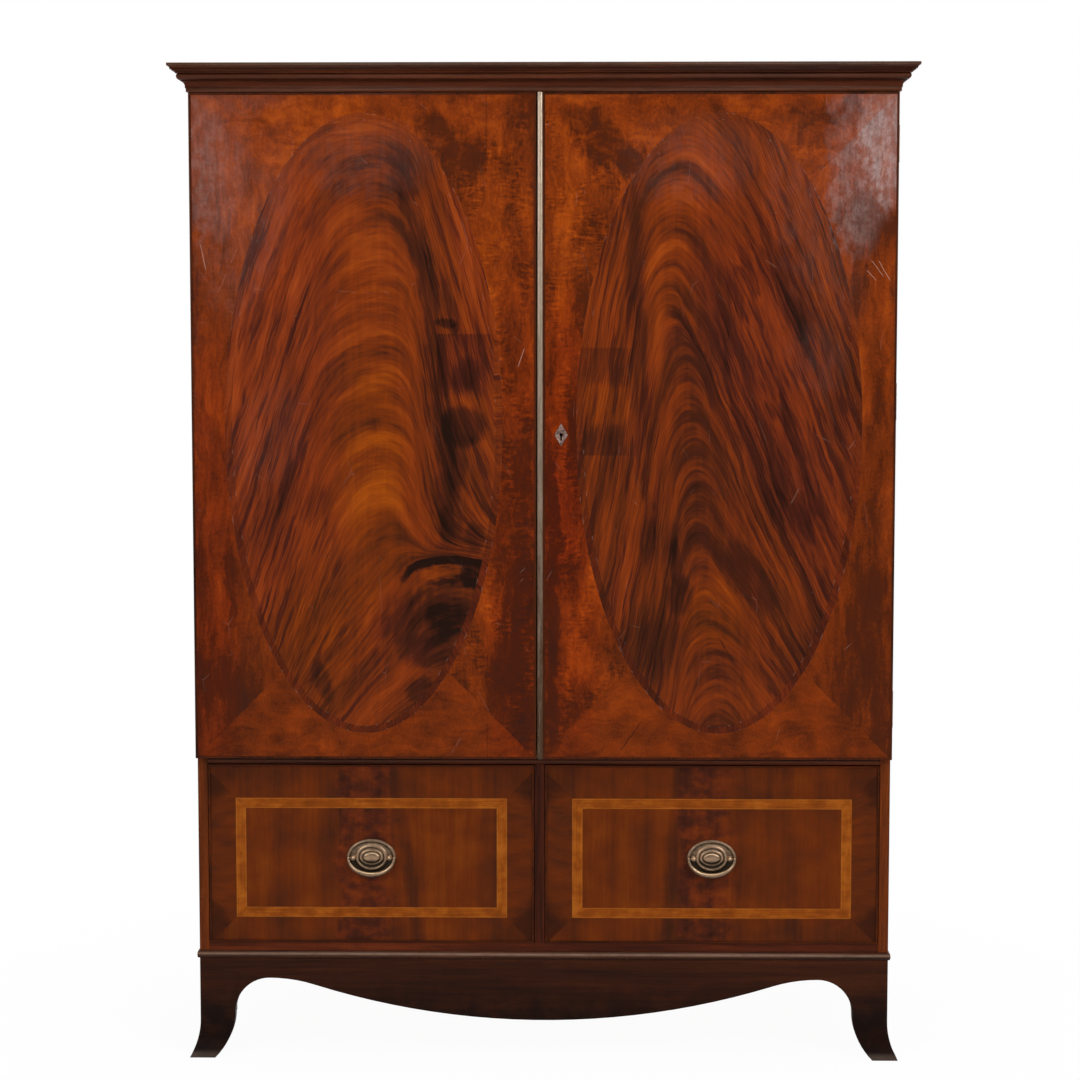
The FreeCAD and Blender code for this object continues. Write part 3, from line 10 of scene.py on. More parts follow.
import bpy
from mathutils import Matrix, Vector


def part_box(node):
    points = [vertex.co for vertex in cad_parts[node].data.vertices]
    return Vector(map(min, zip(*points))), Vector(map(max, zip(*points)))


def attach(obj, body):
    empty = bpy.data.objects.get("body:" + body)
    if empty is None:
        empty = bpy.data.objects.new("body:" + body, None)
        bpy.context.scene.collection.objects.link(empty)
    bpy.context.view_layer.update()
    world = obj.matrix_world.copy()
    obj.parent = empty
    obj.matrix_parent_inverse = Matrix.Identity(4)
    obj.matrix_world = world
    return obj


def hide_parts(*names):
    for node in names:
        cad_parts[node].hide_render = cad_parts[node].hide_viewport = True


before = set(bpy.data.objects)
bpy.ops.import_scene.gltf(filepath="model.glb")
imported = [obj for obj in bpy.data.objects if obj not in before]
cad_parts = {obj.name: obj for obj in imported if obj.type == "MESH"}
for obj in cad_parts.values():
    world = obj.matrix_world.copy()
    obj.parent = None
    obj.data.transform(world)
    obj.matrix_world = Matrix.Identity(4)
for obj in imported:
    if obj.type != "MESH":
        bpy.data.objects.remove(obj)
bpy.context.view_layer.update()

bl_info = {
    "name": "Linen Press Looks",
    "version": (1, 0, 0),
    "blender": (4, 5, 0),
    "location": "View3D > Sidebar > Linen Press",
    "description": "Veneers, woods, brass and stage for a two-part linen press",
    "category": "Object",
}

MM = 0.001
SIDES = ("left", "right")


# ---------------------------------------------------------------- colours and node trees

def tint(code):
    """Linear red, green and blue of a colour written as six hex digits."""
    parts = (int(code[start:start + 2], 16) / 255 for start in (0, 2, 4))
    return tuple(((c + 0.055) / 1.055) ** 2.4 if c > 0.04045 else c / 12.92 for c in parts)


class Wire:
    """One output socket of a material; arithmetic on it adds Math nodes."""

    def __init__(self, paint, socket):
        self.paint = paint
        self.socket = socket

    def _math(self, operation, *values):
        return self.paint.node("ShaderNodeMath", {"operation": operation}, values)

    def __add__(self, other):
        return self._math("ADD", self, other)

    __radd__ = __add__

    def __sub__(self, other):
        return self._math("SUBTRACT", self, other)

    def __rsub__(self, other):
        return self._math("SUBTRACT", other, self)

    def __mul__(self, other):
        return self._math("MULTIPLY", self, other)

    __rmul__ = __mul__

    def __truediv__(self, other):
        return self._math("DIVIDE", self, other)

    def __neg__(self):
        return self._math("MULTIPLY", self, -1.0)

    def __abs__(self):
        return self._math("ABSOLUTE", self)

    def twin(self, out):
        """The named or numbered output of the same node."""
        return Wire(self.paint, self.socket.node.outputs[out])

    def root(self):
        return self._math("SQRT", self)

    def least(self, other):
        return self._math("MINIMUM", self, other)

    def most(self, other):
        return self._math("MAXIMUM", self, other)

    def share(self):
        """Held between 0 and 1."""
        return self.most(0.0).least(1.0)

    def fold(self, length):
        """Distance to the nearest multiple of a length."""
        return self._math("PINGPONG", self, length / 2)

    def rise(self, low, high):
        """0 below the lower value, 1 above the higher, and smooth between."""
        return self.paint.node(
            "ShaderNodeMapRange", {"interpolation_type": "SMOOTHSTEP"},
            {"Value": self, "From Min": low, "From Max": high, "To Min": 0.0, "To Max": 1.0},
            "Result")

    def fall(self, low, high):
        """1 below the lower value, 0 above the higher, and smooth between."""
        return 1.0 - self.rise(low, high)


class Recipe:
    """A node tree while it is put together."""

    def __init__(self, tree):
        self.tree = tree

    def node(self, kind, settings=None, sockets=(), out=0):
        """Adds a node: its settings first, then the values or wires of its sockets."""
        made = self.tree.nodes.new(kind)
        for key, value in (settings or {}).items():
            if key == "stops":
                self._set_stops(made.color_ramp, value)
            elif key == "points":
                self._set_points(made.mapping, value)
            else:
                setattr(made, key, value)
        pairs = sockets.items() if isinstance(sockets, dict) else enumerate(sockets)
        for key, value in pairs:
            self.feed(made.inputs[key], value)
        return Wire(self, made.outputs[out]) if made.outputs else None

    def feed(self, socket, value):
        """Links a wire to a socket, or sets the socket's own value."""
        if isinstance(value, Wire):
            self.tree.links.new(value.socket, socket)
        elif socket.type == "RGBA":
            socket.default_value = (*value[:3], 1.0)
        else:
            socket.default_value = value

    @staticmethod
    def _set_stops(ramp, stops):
        while len(ramp.elements) < len(stops):
            ramp.elements.new(1.0)
        for element, (place, colour) in zip(ramp.elements, stops):
            element.position = place
            element.color = (*colour[:3], 1.0)

    @staticmethod
    def _set_points(mapping, points):
        curve = mapping.curves[0]
        while len(curve.points) < len(points):
            curve.points.new(0.5, 0.5)
        for point, (place, height) in zip(curve.points, points):
            point.location = (place, height)
        mapping.update()

    def vector(self, x, y, z=0.0):
        return self.node("ShaderNodeCombineXYZ", {}, (x, y, z))

    def noise(self, where, detail=2.0, rough=0.5):
        """Smooth noise about 0.5 that repeats nowhere; the place carries its scale."""
        return self.node(
            "ShaderNodeTexNoise", {"noise_dimensions": "3D"},
            {"Vector": self.vector(*where), "Scale": 1.0, "Detail": detail, "Roughness": rough})

    def grain(self, x, z, wide, tall, seed, detail=2.0, rough=0.5):
        """Noise about 0 over the front, drawn out to a width and a height in millimetres."""
        return self.noise((x / wide, z / tall, seed), detail, rough) - 0.5

    def cells(self, where, feature="F1"):
        """Distances in a field of random cells."""
        return self.node("ShaderNodeTexVoronoi", {"feature": feature},
                         {"Vector": self.vector(*where), "Scale": 1.0}, "Distance")

    def ramp(self, value, *stops):
        return self.node("ShaderNodeValToRGB", {"stops": stops}, {"Fac": value}, "Color")

    def path(self, value, points):
        """Smooth curve through points: (value, result) pairs in rising order."""
        (first, _), (last, _) = points[0], points[-1]
        results = [result for _, result in points]
        low, span = min(results), (max(results) - min(results)) or 1.0
        shares = [((v - first) / (last - first), (r - low) / span) for v, r in points]
        share = ((value - first) / (last - first)).share()
        return self.node("ShaderNodeFloatCurve", {"points": shares},
                         {"Factor": 1.0, "Value": share}) * span + low

    def mix(self, share, first, second, blend="MIX"):
        """Mixes two colours."""
        return self.node(
            "ShaderNodeMix", {"data_type": "RGBA", "blend_type": blend},
            {0: share, 6: first, 7: second}, 2)

    def bump(self, height, reach=0.3, strength=1.0, under=None):
        """Normal from a height of 0 to 1 that stands for a reach in millimetres."""
        sockets = {"Height": height, "Strength": strength, "Distance": reach * MM}
        if under:
            sockets["Normal"] = under
        return self.node("ShaderNodeBump", {}, sockets)


class Paint(Recipe):
    """A material while it is mixed: its tree, its shader and the piece's place in millimetres."""

    def __init__(self, name):
        self.material = bpy.data.materials.new(name)
        self.material.use_nodes = True
        super().__init__(self.material.node_tree)
        self.shader = self.tree.nodes["Principled BSDF"]
        place = self.node("ShaderNodeTexCoord", {}, (), "Object")
        axes = self.node("ShaderNodeSeparateXYZ", {}, (place,))
        self.x, self.y, self.z = (axes.twin(out) * 1000.0 for out in range(3))

    def facing(self, axis):
        """How far the surface faces along an axis, -1 to 1."""
        normal = self.node("ShaderNodeTexCoord", {}, (), "Normal")
        return self.node("ShaderNodeSeparateXYZ", {}, (normal,), axis)

    def finish(self, colour, rough, normal=None, shine=None, metal=None):
        """Feeds the shader what is given and returns the material."""
        for socket, value in (("Base Color", colour), ("Roughness", rough), ("Normal", normal),
                              ("Specular IOR Level", shine), ("Metallic", metal)):
            if value is not None:
                self.feed(self.shader.inputs[socket], value)
        return self.material


# ---------------------------------------------------------------- figures of the woods

def straight_grain(paint, along, wild=1.0, seed=0.0):
    """Tone about 0.5 and fine pore lines of straight-grained wood that runs along one axis."""
    sides = {"x": paint.x, "y": paint.y, "z": paint.z}
    run = sides.pop(along)
    a, b = sides.values()
    sway = paint.noise((a / 90, b / 90, run / 500 + seed), 1.0)
    a = a + (sway - 0.5) * 26 * wild
    b = b + (sway - 0.5) * 15 * wild
    broad = paint.noise((a / 42, b / 42, run / 700 + seed))
    streak = paint.noise((a / 8, b / 8, run / 230 + seed), 3.0, 0.6)
    line = paint.noise((a / 1.7, b / 1.7, run / 60 + seed))
    tone = 0.5 + (broad - 0.5) * 0.9 + (streak - 0.5) * 0.9 + (line - 0.5) * 0.45
    pores = paint.noise((a / 0.9, b / 0.9, run / 14 + seed), 1.0).rise(0.56, 0.70)
    return tone, pores


def blob(x, z, across, up, wide, high, lean=0.0, soft=0.9, square=False):
    """Mask of one soft-edged spot."""
    u = (x - across - (z - up) * lean) / wide
    v = (z - up) / high
    u, v = u * u, v * v
    if square:
        u, v = u * u, v * v
    return (u + v).fall(1.0 - soft, 1.0 + soft)


def cut_piece(paint, place, crisp, ragged):
    """Mask of an upright piece: its crisp sides are cut, the others fade out raggedly."""
    left, right, foot, head = place
    insides = {"l": paint.x - left, "r": right - paint.x, "f": paint.z - foot, "h": head - paint.z}
    return reduce(Wire.__mul__, (
        inside.rise(-1.5, 1.5) if name in crisp else (inside + ragged).rise(-16.0, 16.0)
        for name, inside in insides.items()))


# A spot is (middle x, middle z, half width, half height), then its lean, edge softness and
# squareness where blob()'s own don't do.
# Each flame: the arch lines of its figure from the crown down, as (x, z) points; bands that run
# down it, as (z, x) points with a half width; calm spots; cuts, as (left, right, foot, head) and
# the sides that are crisp; patches, which are spots level on the board; and arcs, the same but
# bent along the figure. What each adds to the tone and to the redness comes last.
FLAMES = {
    "left": {
        "seed": 3.1,
        "cracks": (),
        "tone": 0.455,
        "lines": (
            ((-554, 1172), (-541, 1259), (-527, 1325), (-500, 1406), (-477, 1466), (-455, 1527),
             (-434, 1573), (-411, 1604), (-377, 1624), (-333, 1631), (-290, 1631), (-256, 1621),
             (-230, 1600), (-213, 1561), (-196, 1509), (-178, 1449), (-153, 1363), (-130, 1285),
             (-110, 1207), (-84, 1120)),
            ((-556, 1050), (-543, 1099), (-520, 1164), (-496, 1228), (-475, 1302), (-453, 1363),
             (-434, 1423), (-412, 1475), (-386, 1521), (-355, 1556), (-320, 1574), (-282, 1576),
             (-251, 1559), (-230, 1521), (-213, 1470), (-196, 1406), (-179, 1346), (-162, 1280),
             (-141, 1207), (-118, 1134), (-84, 1033)),
            ((-557, 936), (-539, 1006), (-517, 1068), (-494, 1141), (-472, 1211), (-450, 1276),
             (-429, 1339), (-408, 1394), (-383, 1446), (-352, 1487), (-313, 1509), (-275, 1513),
             (-248, 1494), (-227, 1453), (-210, 1394), (-193, 1328), (-177, 1259), (-162, 1186),
             (-141, 1112), (-119, 1042), (-84, 972)),
            ((-558, 839), (-534, 913), (-511, 987), (-487, 1059), (-464, 1138), (-442, 1207),
             (-423, 1263), (-403, 1311), (-382, 1356), (-356, 1392), (-321, 1413), (-276, 1418),
             (-244, 1398), (-224, 1356), (-208, 1301), (-193, 1235), (-179, 1166), (-164, 1092),
             (-145, 1024), (-121, 977), (-84, 942)),
            ((-559, 724), (-532, 795), (-505, 871), (-478, 952), (-454, 1033), (-431, 1110),
             (-411, 1165), (-392, 1207), (-367, 1242), (-336, 1264), (-301, 1275), (-262, 1273),
             (-236, 1252), (-219, 1214), (-206, 1162), (-194, 1099), (-180, 1033), (-164, 980),
             (-143, 949), (-117, 932), (-84, 921)),
            ((-534, 645), (-506, 702), (-483, 760), (-460, 826), (-438, 896), (-418, 963), (-400, 1019),
             (-381, 1064), (-358, 1101), (-330, 1124), (-295, 1136), (-260, 1132), (-239, 1115),
             (-223, 1082), (-211, 1036), (-199, 991), (-185, 952), (-166, 928), (-142, 917),
             (-114, 914), (-84, 910)),
            ((-508, 583), (-477, 636), (-450, 695), (-427, 751), (-405, 804), (-386, 857), (-366, 907),
             (-343, 949), (-318, 979), (-288, 996), (-262, 993), (-243, 973), (-226, 945), (-208, 924),
             (-187, 912), (-163, 909), (-135, 907), (-110, 905), (-84, 902)),
            ((-472, 565), (-437, 617), (-406, 659), (-378, 698), (-350, 734), (-321, 769), (-293, 808),
             (-268, 842), (-245, 870), (-224, 888), (-198, 896), (-166, 900), (-135, 898), (-110, 895),
             (-84, 888)),
            ((-428, 556), (-393, 595), (-364, 629), (-336, 663), (-308, 698), (-278, 736), (-251, 773),
             (-230, 810), (-209, 836), (-180, 849), (-149, 852), (-121, 849), (-103, 840), (-84, 826)),
            ((-384, 547), (-349, 581), (-322, 613), (-294, 644), (-262, 670), (-236, 697), (-211, 724),
             (-186, 743), (-158, 752), (-132, 752), (-107, 743), (-84, 726)),
            ((-340, 535), (-305, 578), (-278, 606), (-252, 628), (-223, 646), (-195, 654), (-167, 658),
             (-139, 655), (-111, 640)),
        ),
        "bands": (
            (((928, -160), (998, -166), (1085, -168), (1172, -180), (1260, -188), (1347, -197),
              (1417, -211), (1521, -234), (1590, -250)), 17, -0.15, 0.0),
            (((860, -300), (960, -288), (1080, -298), (1172, -300), (1240, -296)), 44, 0.05, -0.4),
        ),
        "calm": (
            (-296, 1060, 62, 230, 0.0, 0.8), (-360, 760, 110, 160, 0.0, 0.8),
            (-285, 1400, 90, 170, 0.0, 0.8),
        ),
        "cuts": (
            ((-184, -92, 1186, 1287), "lh", -0.15, 0.45),
        ),
        "patches": (
            ((-298, 1040, 56, 200, 0.05, 0.8), 0.02, -0.2),
            ((-330, 820, 44, 110, 0.45, 0.8), 0.03, -0.3), ((-290, 1560, 90, 50, 0.0, 0.8), -0.09, 0.1),
            ((-168, 1306, 18, 8, -0.4, 0.8), -0.2, 0.0), ((-156, 1294, 8, 10, 0.0, 0.8), -0.14, 0.0),
            ((-134, 1214, 22, 30, 0.1, 0.8), -0.14, 0.2), ((-138, 1126, 38, 36, 0.0, 0.5), -0.22, 0.0),
            ((-150, 1052, 14, 50, 0.0, 0.8), -0.08, 0.0), ((-168, 958, 12, 36, 0.0, 0.8), -0.07, 0.0),
            ((-119, 932, 17, 26, 0.0, 0.8), -0.13, 0.1),
            ((-122, 869, 24, 25, 0.0, 0.5, True), -0.2, 0.0),
            ((-168, 797, 38, 35, 0.0, 0.6), -0.18, 0.1), ((-201, 735, 46, 30, 0.3, 0.7), -0.17, 0.1),
            ((-214, 662, 26, 22, 0.0, 0.7), -0.15, 0.0), ((-246, 790, 44, 44, 0.0, 0.8), -0.06, 0.1),
            ((-230, 790, 150, 170), -0.06, 0.0), ((-387, 676, 16, 36, -0.3, 0.7), -0.12, 0.0),
            ((-108, 1360, 36, 190, -0.15, 0.8), 0.05, 0.35),
            ((-470, 1180, 100, 400, 0.1, 0.8), 0.0, 0.55), ((-530, 1200, 26, 60, 0.0, 0.8), 0.06, 0.2),
            ((-426, 1410, 30, 50, 0.3, 0.8), 0.05, 0.2), ((-410, 730, 90, 110, 0.0, 0.8), -0.02, -0.3),
            ((-296, 1190, 50, 60), -0.07, 0.1), ((-215, 785, 46, 56), -0.09, 0.0),
            ((-150, 970, 44, 190), -0.05, 0.0), ((-240, 1110, 60, 110), -0.03, 0.0),
            ((-212, 1520, 24, 60, 0.2), 0.05, 0.0), ((-458, 1364, 32, 36), 0.09, 0.2),
            ((-395, 990, 34, 36), -0.07, 0.0), ((-520, 1145, 26, 60), 0.07, 0.2),
            ((-150, 790, 44, 36), -0.08, 0.0),
        ),
        "arcs": (
            ((-168, 896, 78, 9, 0.0, 0.5, True), -0.26, 0.0),
            ((-148, 858, 46, 6, 0.0, 0.6, True), -0.15, 0.0),
            ((-180, 874, 40, 8, 0.0, 0.7, True), 0.1, -0.3),
        ),
    },
    "right": {
        "seed": 11.7,
        "cracks": ((319.6, 736.0, -0.52, 22.0),),
        "tone": 0.425,
        "lines": (
            ((61, 1051), (82, 1173), (102, 1294), (123, 1411), (143, 1504), (164, 1565), (188, 1603),
             (219, 1625), (253, 1635), (284, 1623), (312, 1596), (340, 1557), (366, 1510), (392, 1457),
             (418, 1397), (445, 1335), (471, 1270), (498, 1200), (525, 1129), (555, 1051)),
            ((61, 920), (85, 1037), (110, 1164), (130, 1285), (149, 1389), (168, 1470), (188, 1512),
             (216, 1533), (245, 1536), (271, 1521), (297, 1490), (323, 1450), (349, 1406), (376, 1354),
             (402, 1297), (428, 1235), (455, 1169), (482, 1102), (508, 1034), (556, 911)),
            ((61, 788), (89, 897), (113, 1016), (136, 1146), (154, 1268), (171, 1363), (190, 1421),
             (214, 1449), (240, 1456), (264, 1438), (285, 1401), (306, 1349), (329, 1289), (354, 1221),
             (379, 1155), (405, 1088), (432, 1021), (459, 957), (485, 897), (528, 815), (558, 753)),
            ((65, 664), (93, 761), (119, 876), (141, 998), (160, 1120), (175, 1233), (191, 1302),
             (208, 1337), (227, 1340), (248, 1304), (272, 1254), (297, 1197), (323, 1136), (350, 1074),
             (378, 1009), (405, 950), (431, 894), (458, 839), (484, 788), (520, 727), (559, 665)),
            ((74, 575), (104, 664), (131, 767), (154, 879), (173, 998), (186, 1110), (200, 1190),
             (215, 1238), (232, 1263), (250, 1268), (267, 1252), (285, 1214), (304, 1166), (327, 1107),
             (352, 1040), (378, 976), (405, 916), (432, 860), (458, 804), (503, 727), (560, 621)),
            ((100, 540), (132, 629), (160, 726), (180, 832), (196, 937), (207, 1026), (219, 1086),
             (235, 1119), (254, 1131), (275, 1126), (294, 1101), (313, 1061), (334, 1016), (359, 967),
             (386, 913), (412, 860), (439, 808), (467, 751), (503, 683), (560, 577)),
            ((127, 531), (156, 611), (182, 700), (201, 802), (215, 897), (227, 981), (239, 1037),
             (254, 1061), (273, 1067), (293, 1051), (314, 1016), (338, 971), (365, 920), (391, 869),
             (418, 816), (445, 764), (477, 700), (561, 532)),
            ((153, 522), (181, 599), (204, 682), (219, 770), (231, 855), (243, 914), (258, 942),
             (278, 943), (298, 922), (323, 890), (348, 853), (376, 811), (404, 765), (433, 716),
             (468, 647), (561, 488)),
            ((162, 513), (188, 576), (211, 647), (226, 726), (238, 802), (252, 858), (267, 888),
             (286, 890), (309, 869), (336, 834), (362, 795), (390, 751), (419, 704), (451, 644),
             (562, 443)),
            ((171, 501), (197, 554), (220, 620), (235, 696), (250, 747), (270, 772), (294, 781),
             (320, 769), (347, 741), (373, 705), (400, 665), (434, 608), (562, 399)),
            ((188, 490), (215, 536), (236, 590), (253, 643), (272, 686), (294, 705), (317, 705),
             (340, 688), (363, 659), (386, 629), (416, 585), (562, 354)),
        ),
        "bands": (
            (((1137, 168), (1300, 164), (1450, 160), (1556, 152), (1600, 158)), 15, -0.1, 0.0),
            (((890, 181), (960, 184), (1020, 182)), 7, -0.1, 0.0),
        ),
        "calm": (
            (110, 1180, 60, 200, 0.0, 0.8),
        ),
        "cuts": (
            ((60, 150, 1206, 1263), "h", -0.09, 0.0), ((60, 150, 1076, 1124), "f", -0.1, 0.0),
        ),
        "patches": (
            ((112, 1165, 40, 36, 0.0, 0.6, True), 0.05, -0.2),
            ((100, 1350, 40, 60, 0.0, 0.8), 0.04, 0.1), ((231, 892, 9, 40, 0.0, 0.7), -0.14, 0.0),
            ((238, 832, 22, 34, 0.0, 0.7), -0.15, 0.0), ((366, 858, 36, 62, -0.5, 0.7), -0.12, 0.1),
            ((190, 745, 52, 62), -0.11, -0.2), ((330, 1000, 90, 150), -0.05, 0.0),
            ((455, 958, 12, 36, -0.4, 0.7), -0.13, 0.3), ((420, 1200, 100, 330, -0.35), -0.01, 0.45),
            ((300, 800, 50, 60), 0.04, -0.3), ((300, 1590, 90, 50), 0.0, 0.1),
            ((492, 790, 30, 90, -0.3), -0.05, 0.1), ((262, 1140, 44, 210, -0.1), -0.08, 0.0),
            ((400, 1100, 60, 240, -0.35), -0.05, 0.2), ((300, 1240, 50, 70), -0.06, 0.1),
            ((418, 1265, 44, 76), -0.08, 0.1), ((199, 924, 60, 36), -0.06, 0.0),
            ((480, 735, 34, 34), -0.07, 0.0), ((400, 1450, 60, 110, -0.3), -0.03, 0.1),
        ),
        "arcs": (
            ((286, 1334, 66, 15, 0.0, 0.7), -0.17, 0.0), ((248, 1322, 22, 18, 0.0, 0.7), -0.1, 0.0),
            ((306, 1280, 46, 50, 0.0, 0.8), -0.06, 0.1), ((258, 925, 70, 26, 0.0, 0.8), -0.09, 0.0),
            ((270, 1020, 60, 26, 0.0, 0.8), -0.04, 0.0), ((290, 1425, 40, 36, 0.0, 0.8), -0.05, 0.1),
        ),
    },
}


def arch_height(paint, x, z, lines):
    """Height of the crown of the arch line that goes through each point."""
    curves = [paint.path(x, line) for line in lines]
    crowns = [max(level for _, level in line) for line in lines]
    height = (z - curves[0]).most(0.0) + (z - curves[-1]).least(0.0) + crowns[-1]
    for upper, lower, top, foot in zip(curves, curves[1:], crowns, crowns[1:]):
        height = height + paint.node(
            "ShaderNodeMapRange", {"interpolation_type": "LINEAR"},
            {"Value": z, "From Min": lower, "From Max": upper, "To Min": 0.0,
             "To Max": float(top - foot)}, "Result")
    return height


def flame_figure(paint, plan):
    """Tone, redness and line relief of a crotch flame: streaks that follow nested arches."""
    seed = plan["seed"]
    drift = paint.grain(paint.x, paint.z, 110, 160, seed, 1.0)
    sway = paint.grain(paint.x, paint.z, 22, 60, seed + 4)
    x = paint.x + drift * 14 + sway * 7
    z = paint.z + drift * 12
    height = arch_height(paint, x, z, plan["lines"])
    drop = height - z
    flank = drop.rise(15.0, 150.0)

    def streaks(width, reach, shift, detail, rough=0.5):
        place = (height / width, x / reach + shift, drop / (reach * 1.35) + seed)
        return paint.noise(place, detail, rough) - 0.5

    calm = reduce(Wire.most, (blob(x, z, *spot) for spot in plan["calm"]))
    lively = 1.0 - calm * 0.25
    broad = streaks(64, 190, 1.0, 1.0)
    streak = streaks(25, 120, 5.0, 2.0, 0.45) * lively
    fine = streaks(9.5, 70, 9.0, 2.0, 0.6) * lively
    silk = streaks(3.4, 24, 15.0, 1.0)
    feather = paint.noise((height / 90, x / 9, seed + 12)) - 0.5
    dash = (streak + fine * 0.35).rise(0.02, 0.11) * flank
    glint = (streak + fine * 0.5).fall(-0.14, -0.05) * flank
    tone = (plan["tone"] + broad * 0.40 + streak * 0.46 + fine * 0.36 + silk * 0.16
            + feather * 0.14 + (streaks(5.2, 90, 27.0, 1.0) * flank) * 0.34
            - dash * 0.19 + glint * 0.12)
    red = 0.40 + broad * 0.8 + feather * 0.4 + dash * 0.30
    ragged = streaks(13, 30, 21.0, 3.0, 0.65)
    wash = paint.grain(paint.x, paint.z, 26, 40, seed + 14, 4.0, 0.6)
    across, up = (ragged + wash) * 26, (ragged - wash) * 34
    u, v = paint.x + across, paint.z + up
    level = height + (ragged + wash) * 22
    for place, crisp, light, warm in plan["cuts"]:
        mask = cut_piece(paint, place, crisp, ragged * 60) * (0.55 + 0.45 * streak.fall(-0.1, 0.1))
        tone = tone + mask * light
        red = red + mask * warm
    for points, wide, light, warm in plan["bands"]:
        mask = abs(u - paint.path(paint.z, points)).fall(wide * 0.35, wide * 1.5)
        ends = (paint.z.rise(points[0][0] - 30.0, points[0][0] + 30.0)
                * paint.z.fall(points[-1][0] - 30.0, points[-1][0] + 30.0))
        tone = tone + mask * ends * light
        red = red + mask * ends * warm
    spots = [(u, level, spot) for spot in plan["arcs"]]
    for patch in plan["patches"]:
        part = min(0.55, 0.2 + min(patch[0][2:4]) / 90)
        spots.append((paint.x + across * part, paint.z + up * part, patch))
    for side, rise, (spot, light, warm) in spots:
        mask = blob(side, rise, *spot)
        tone = tone + mask * light
        if warm:
            red = red + mask * warm
    return tone, red, streak + fine * 0.6 + silk * 0.4


def sides_of(node):
    """Left, right, front, back, foot and head of a CAD node, in millimetres."""
    return [side / MM for pair in zip(*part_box(node)) for side in pair]


def oval_of(node):
    """Middle x and z, and half the width and height, of a CAD node, in millimetres."""
    left, right, _, _, foot, head = sides_of(node)
    return (left + right) / 2, (foot + head) / 2, (right - left) / 2, (head - foot) / 2


def hair_lines(paint, lines, stray, wide):
    """Mask of single lines: (middle x, middle z, lean, half length)."""
    return reduce(Wire.most, (
        abs(paint.x - across - (paint.z - up) * lean + stray).fall(wide * 0.3, wide)
        * abs(paint.z - up).fall(reach * 0.8, reach * 1.1)
        for across, up, lean, reach in lines))


def scuffs(paint, seed):
    """Sparse hairline scratches, as a mask."""
    place = (paint.x + paint.z * 0.25) / 90, paint.z / 170, seed + paint.y / 90
    lines = paint.cells(place, "DISTANCE_TO_EDGE")
    here = paint.noise((paint.x / 30, paint.z / 60, seed + 5)).rise(0.58, 0.68)
    return lines.fall(0.0, 0.005) * here


def old_surface(paint, seed):
    """Normal of a hand-planed, moved and dented board: long waves, small dents."""
    waves = paint.noise((paint.x / 55, paint.z / 85, seed + paint.y / 60))
    dents = paint.cells((paint.x / 46, paint.z / 52, seed + paint.y / 46), "SMOOTH_F1")
    pits = dents.fall(0.04, 0.20)
    return paint.bump(waves - pits * 0.12, 1.5, 0.35)


def bloom_and_painted_haze(paint, spots, seed):
    """Milky, wiped-over bloom in the old wax, and a painted reflection of the studio lights where it is
    strongest at the doors' top outer corners, as a mask.
    """
    wipe = paint.noise((paint.x / 17, paint.z / 24, seed), 4.0, 0.62)
    speck = paint.noise((paint.x / 3.5, paint.z / 5, seed + 1))
    x, z = paint.x + (wipe - 0.5) * 60, paint.z + (wipe - 0.5) * 90
    mask = reduce(Wire.most, (blob(x, z, *spot) * strength for spot, strength in spots))
    stroke = paint.noise((paint.x / 4.5, paint.z / 34, seed + 2), 3.0, 0.6)
    return (mask * (0.50 + 0.50 * wipe.rise(0.38, 0.60)) * (0.72 + 0.28 * stroke.rise(0.40, 0.60))
            * (0.75 + 0.25 * speck.rise(0.35, 0.65)))


# Milky spots of each door, then how strong each is: wax bloom, and at the top outer corners, where they are
# strongest, a painted reflection of the studio lights.
BLOOMS_AND_PAINTED_HAZE = {
    "left": (
        ((-580, 1600, 40, 150), 0.24), ((-545, 1545, 34, 110, 0.2), 0.16), ((-540, 1690, 90, 26), 0.12),
        ((-505, 1480, 60, 150, 0.25), 0.07), ((-310, 1590, 110, 60), 0.05),
        ((-480, 1110, 60, 90, 0.2), 0.03),
    ),
    "right": (
        ((584, 1625, 44, 116, 0.0, 0.8), 0.82), ((560, 1680, 60, 34), 0.46),
        ((540, 1575, 46, 140), 0.38), ((250, 1590, 110, 70), 0.05), ((470, 1490, 70, 160, -0.25), 0.05),
        ((480, 1250, 50, 60), 0.04),
    ),
}


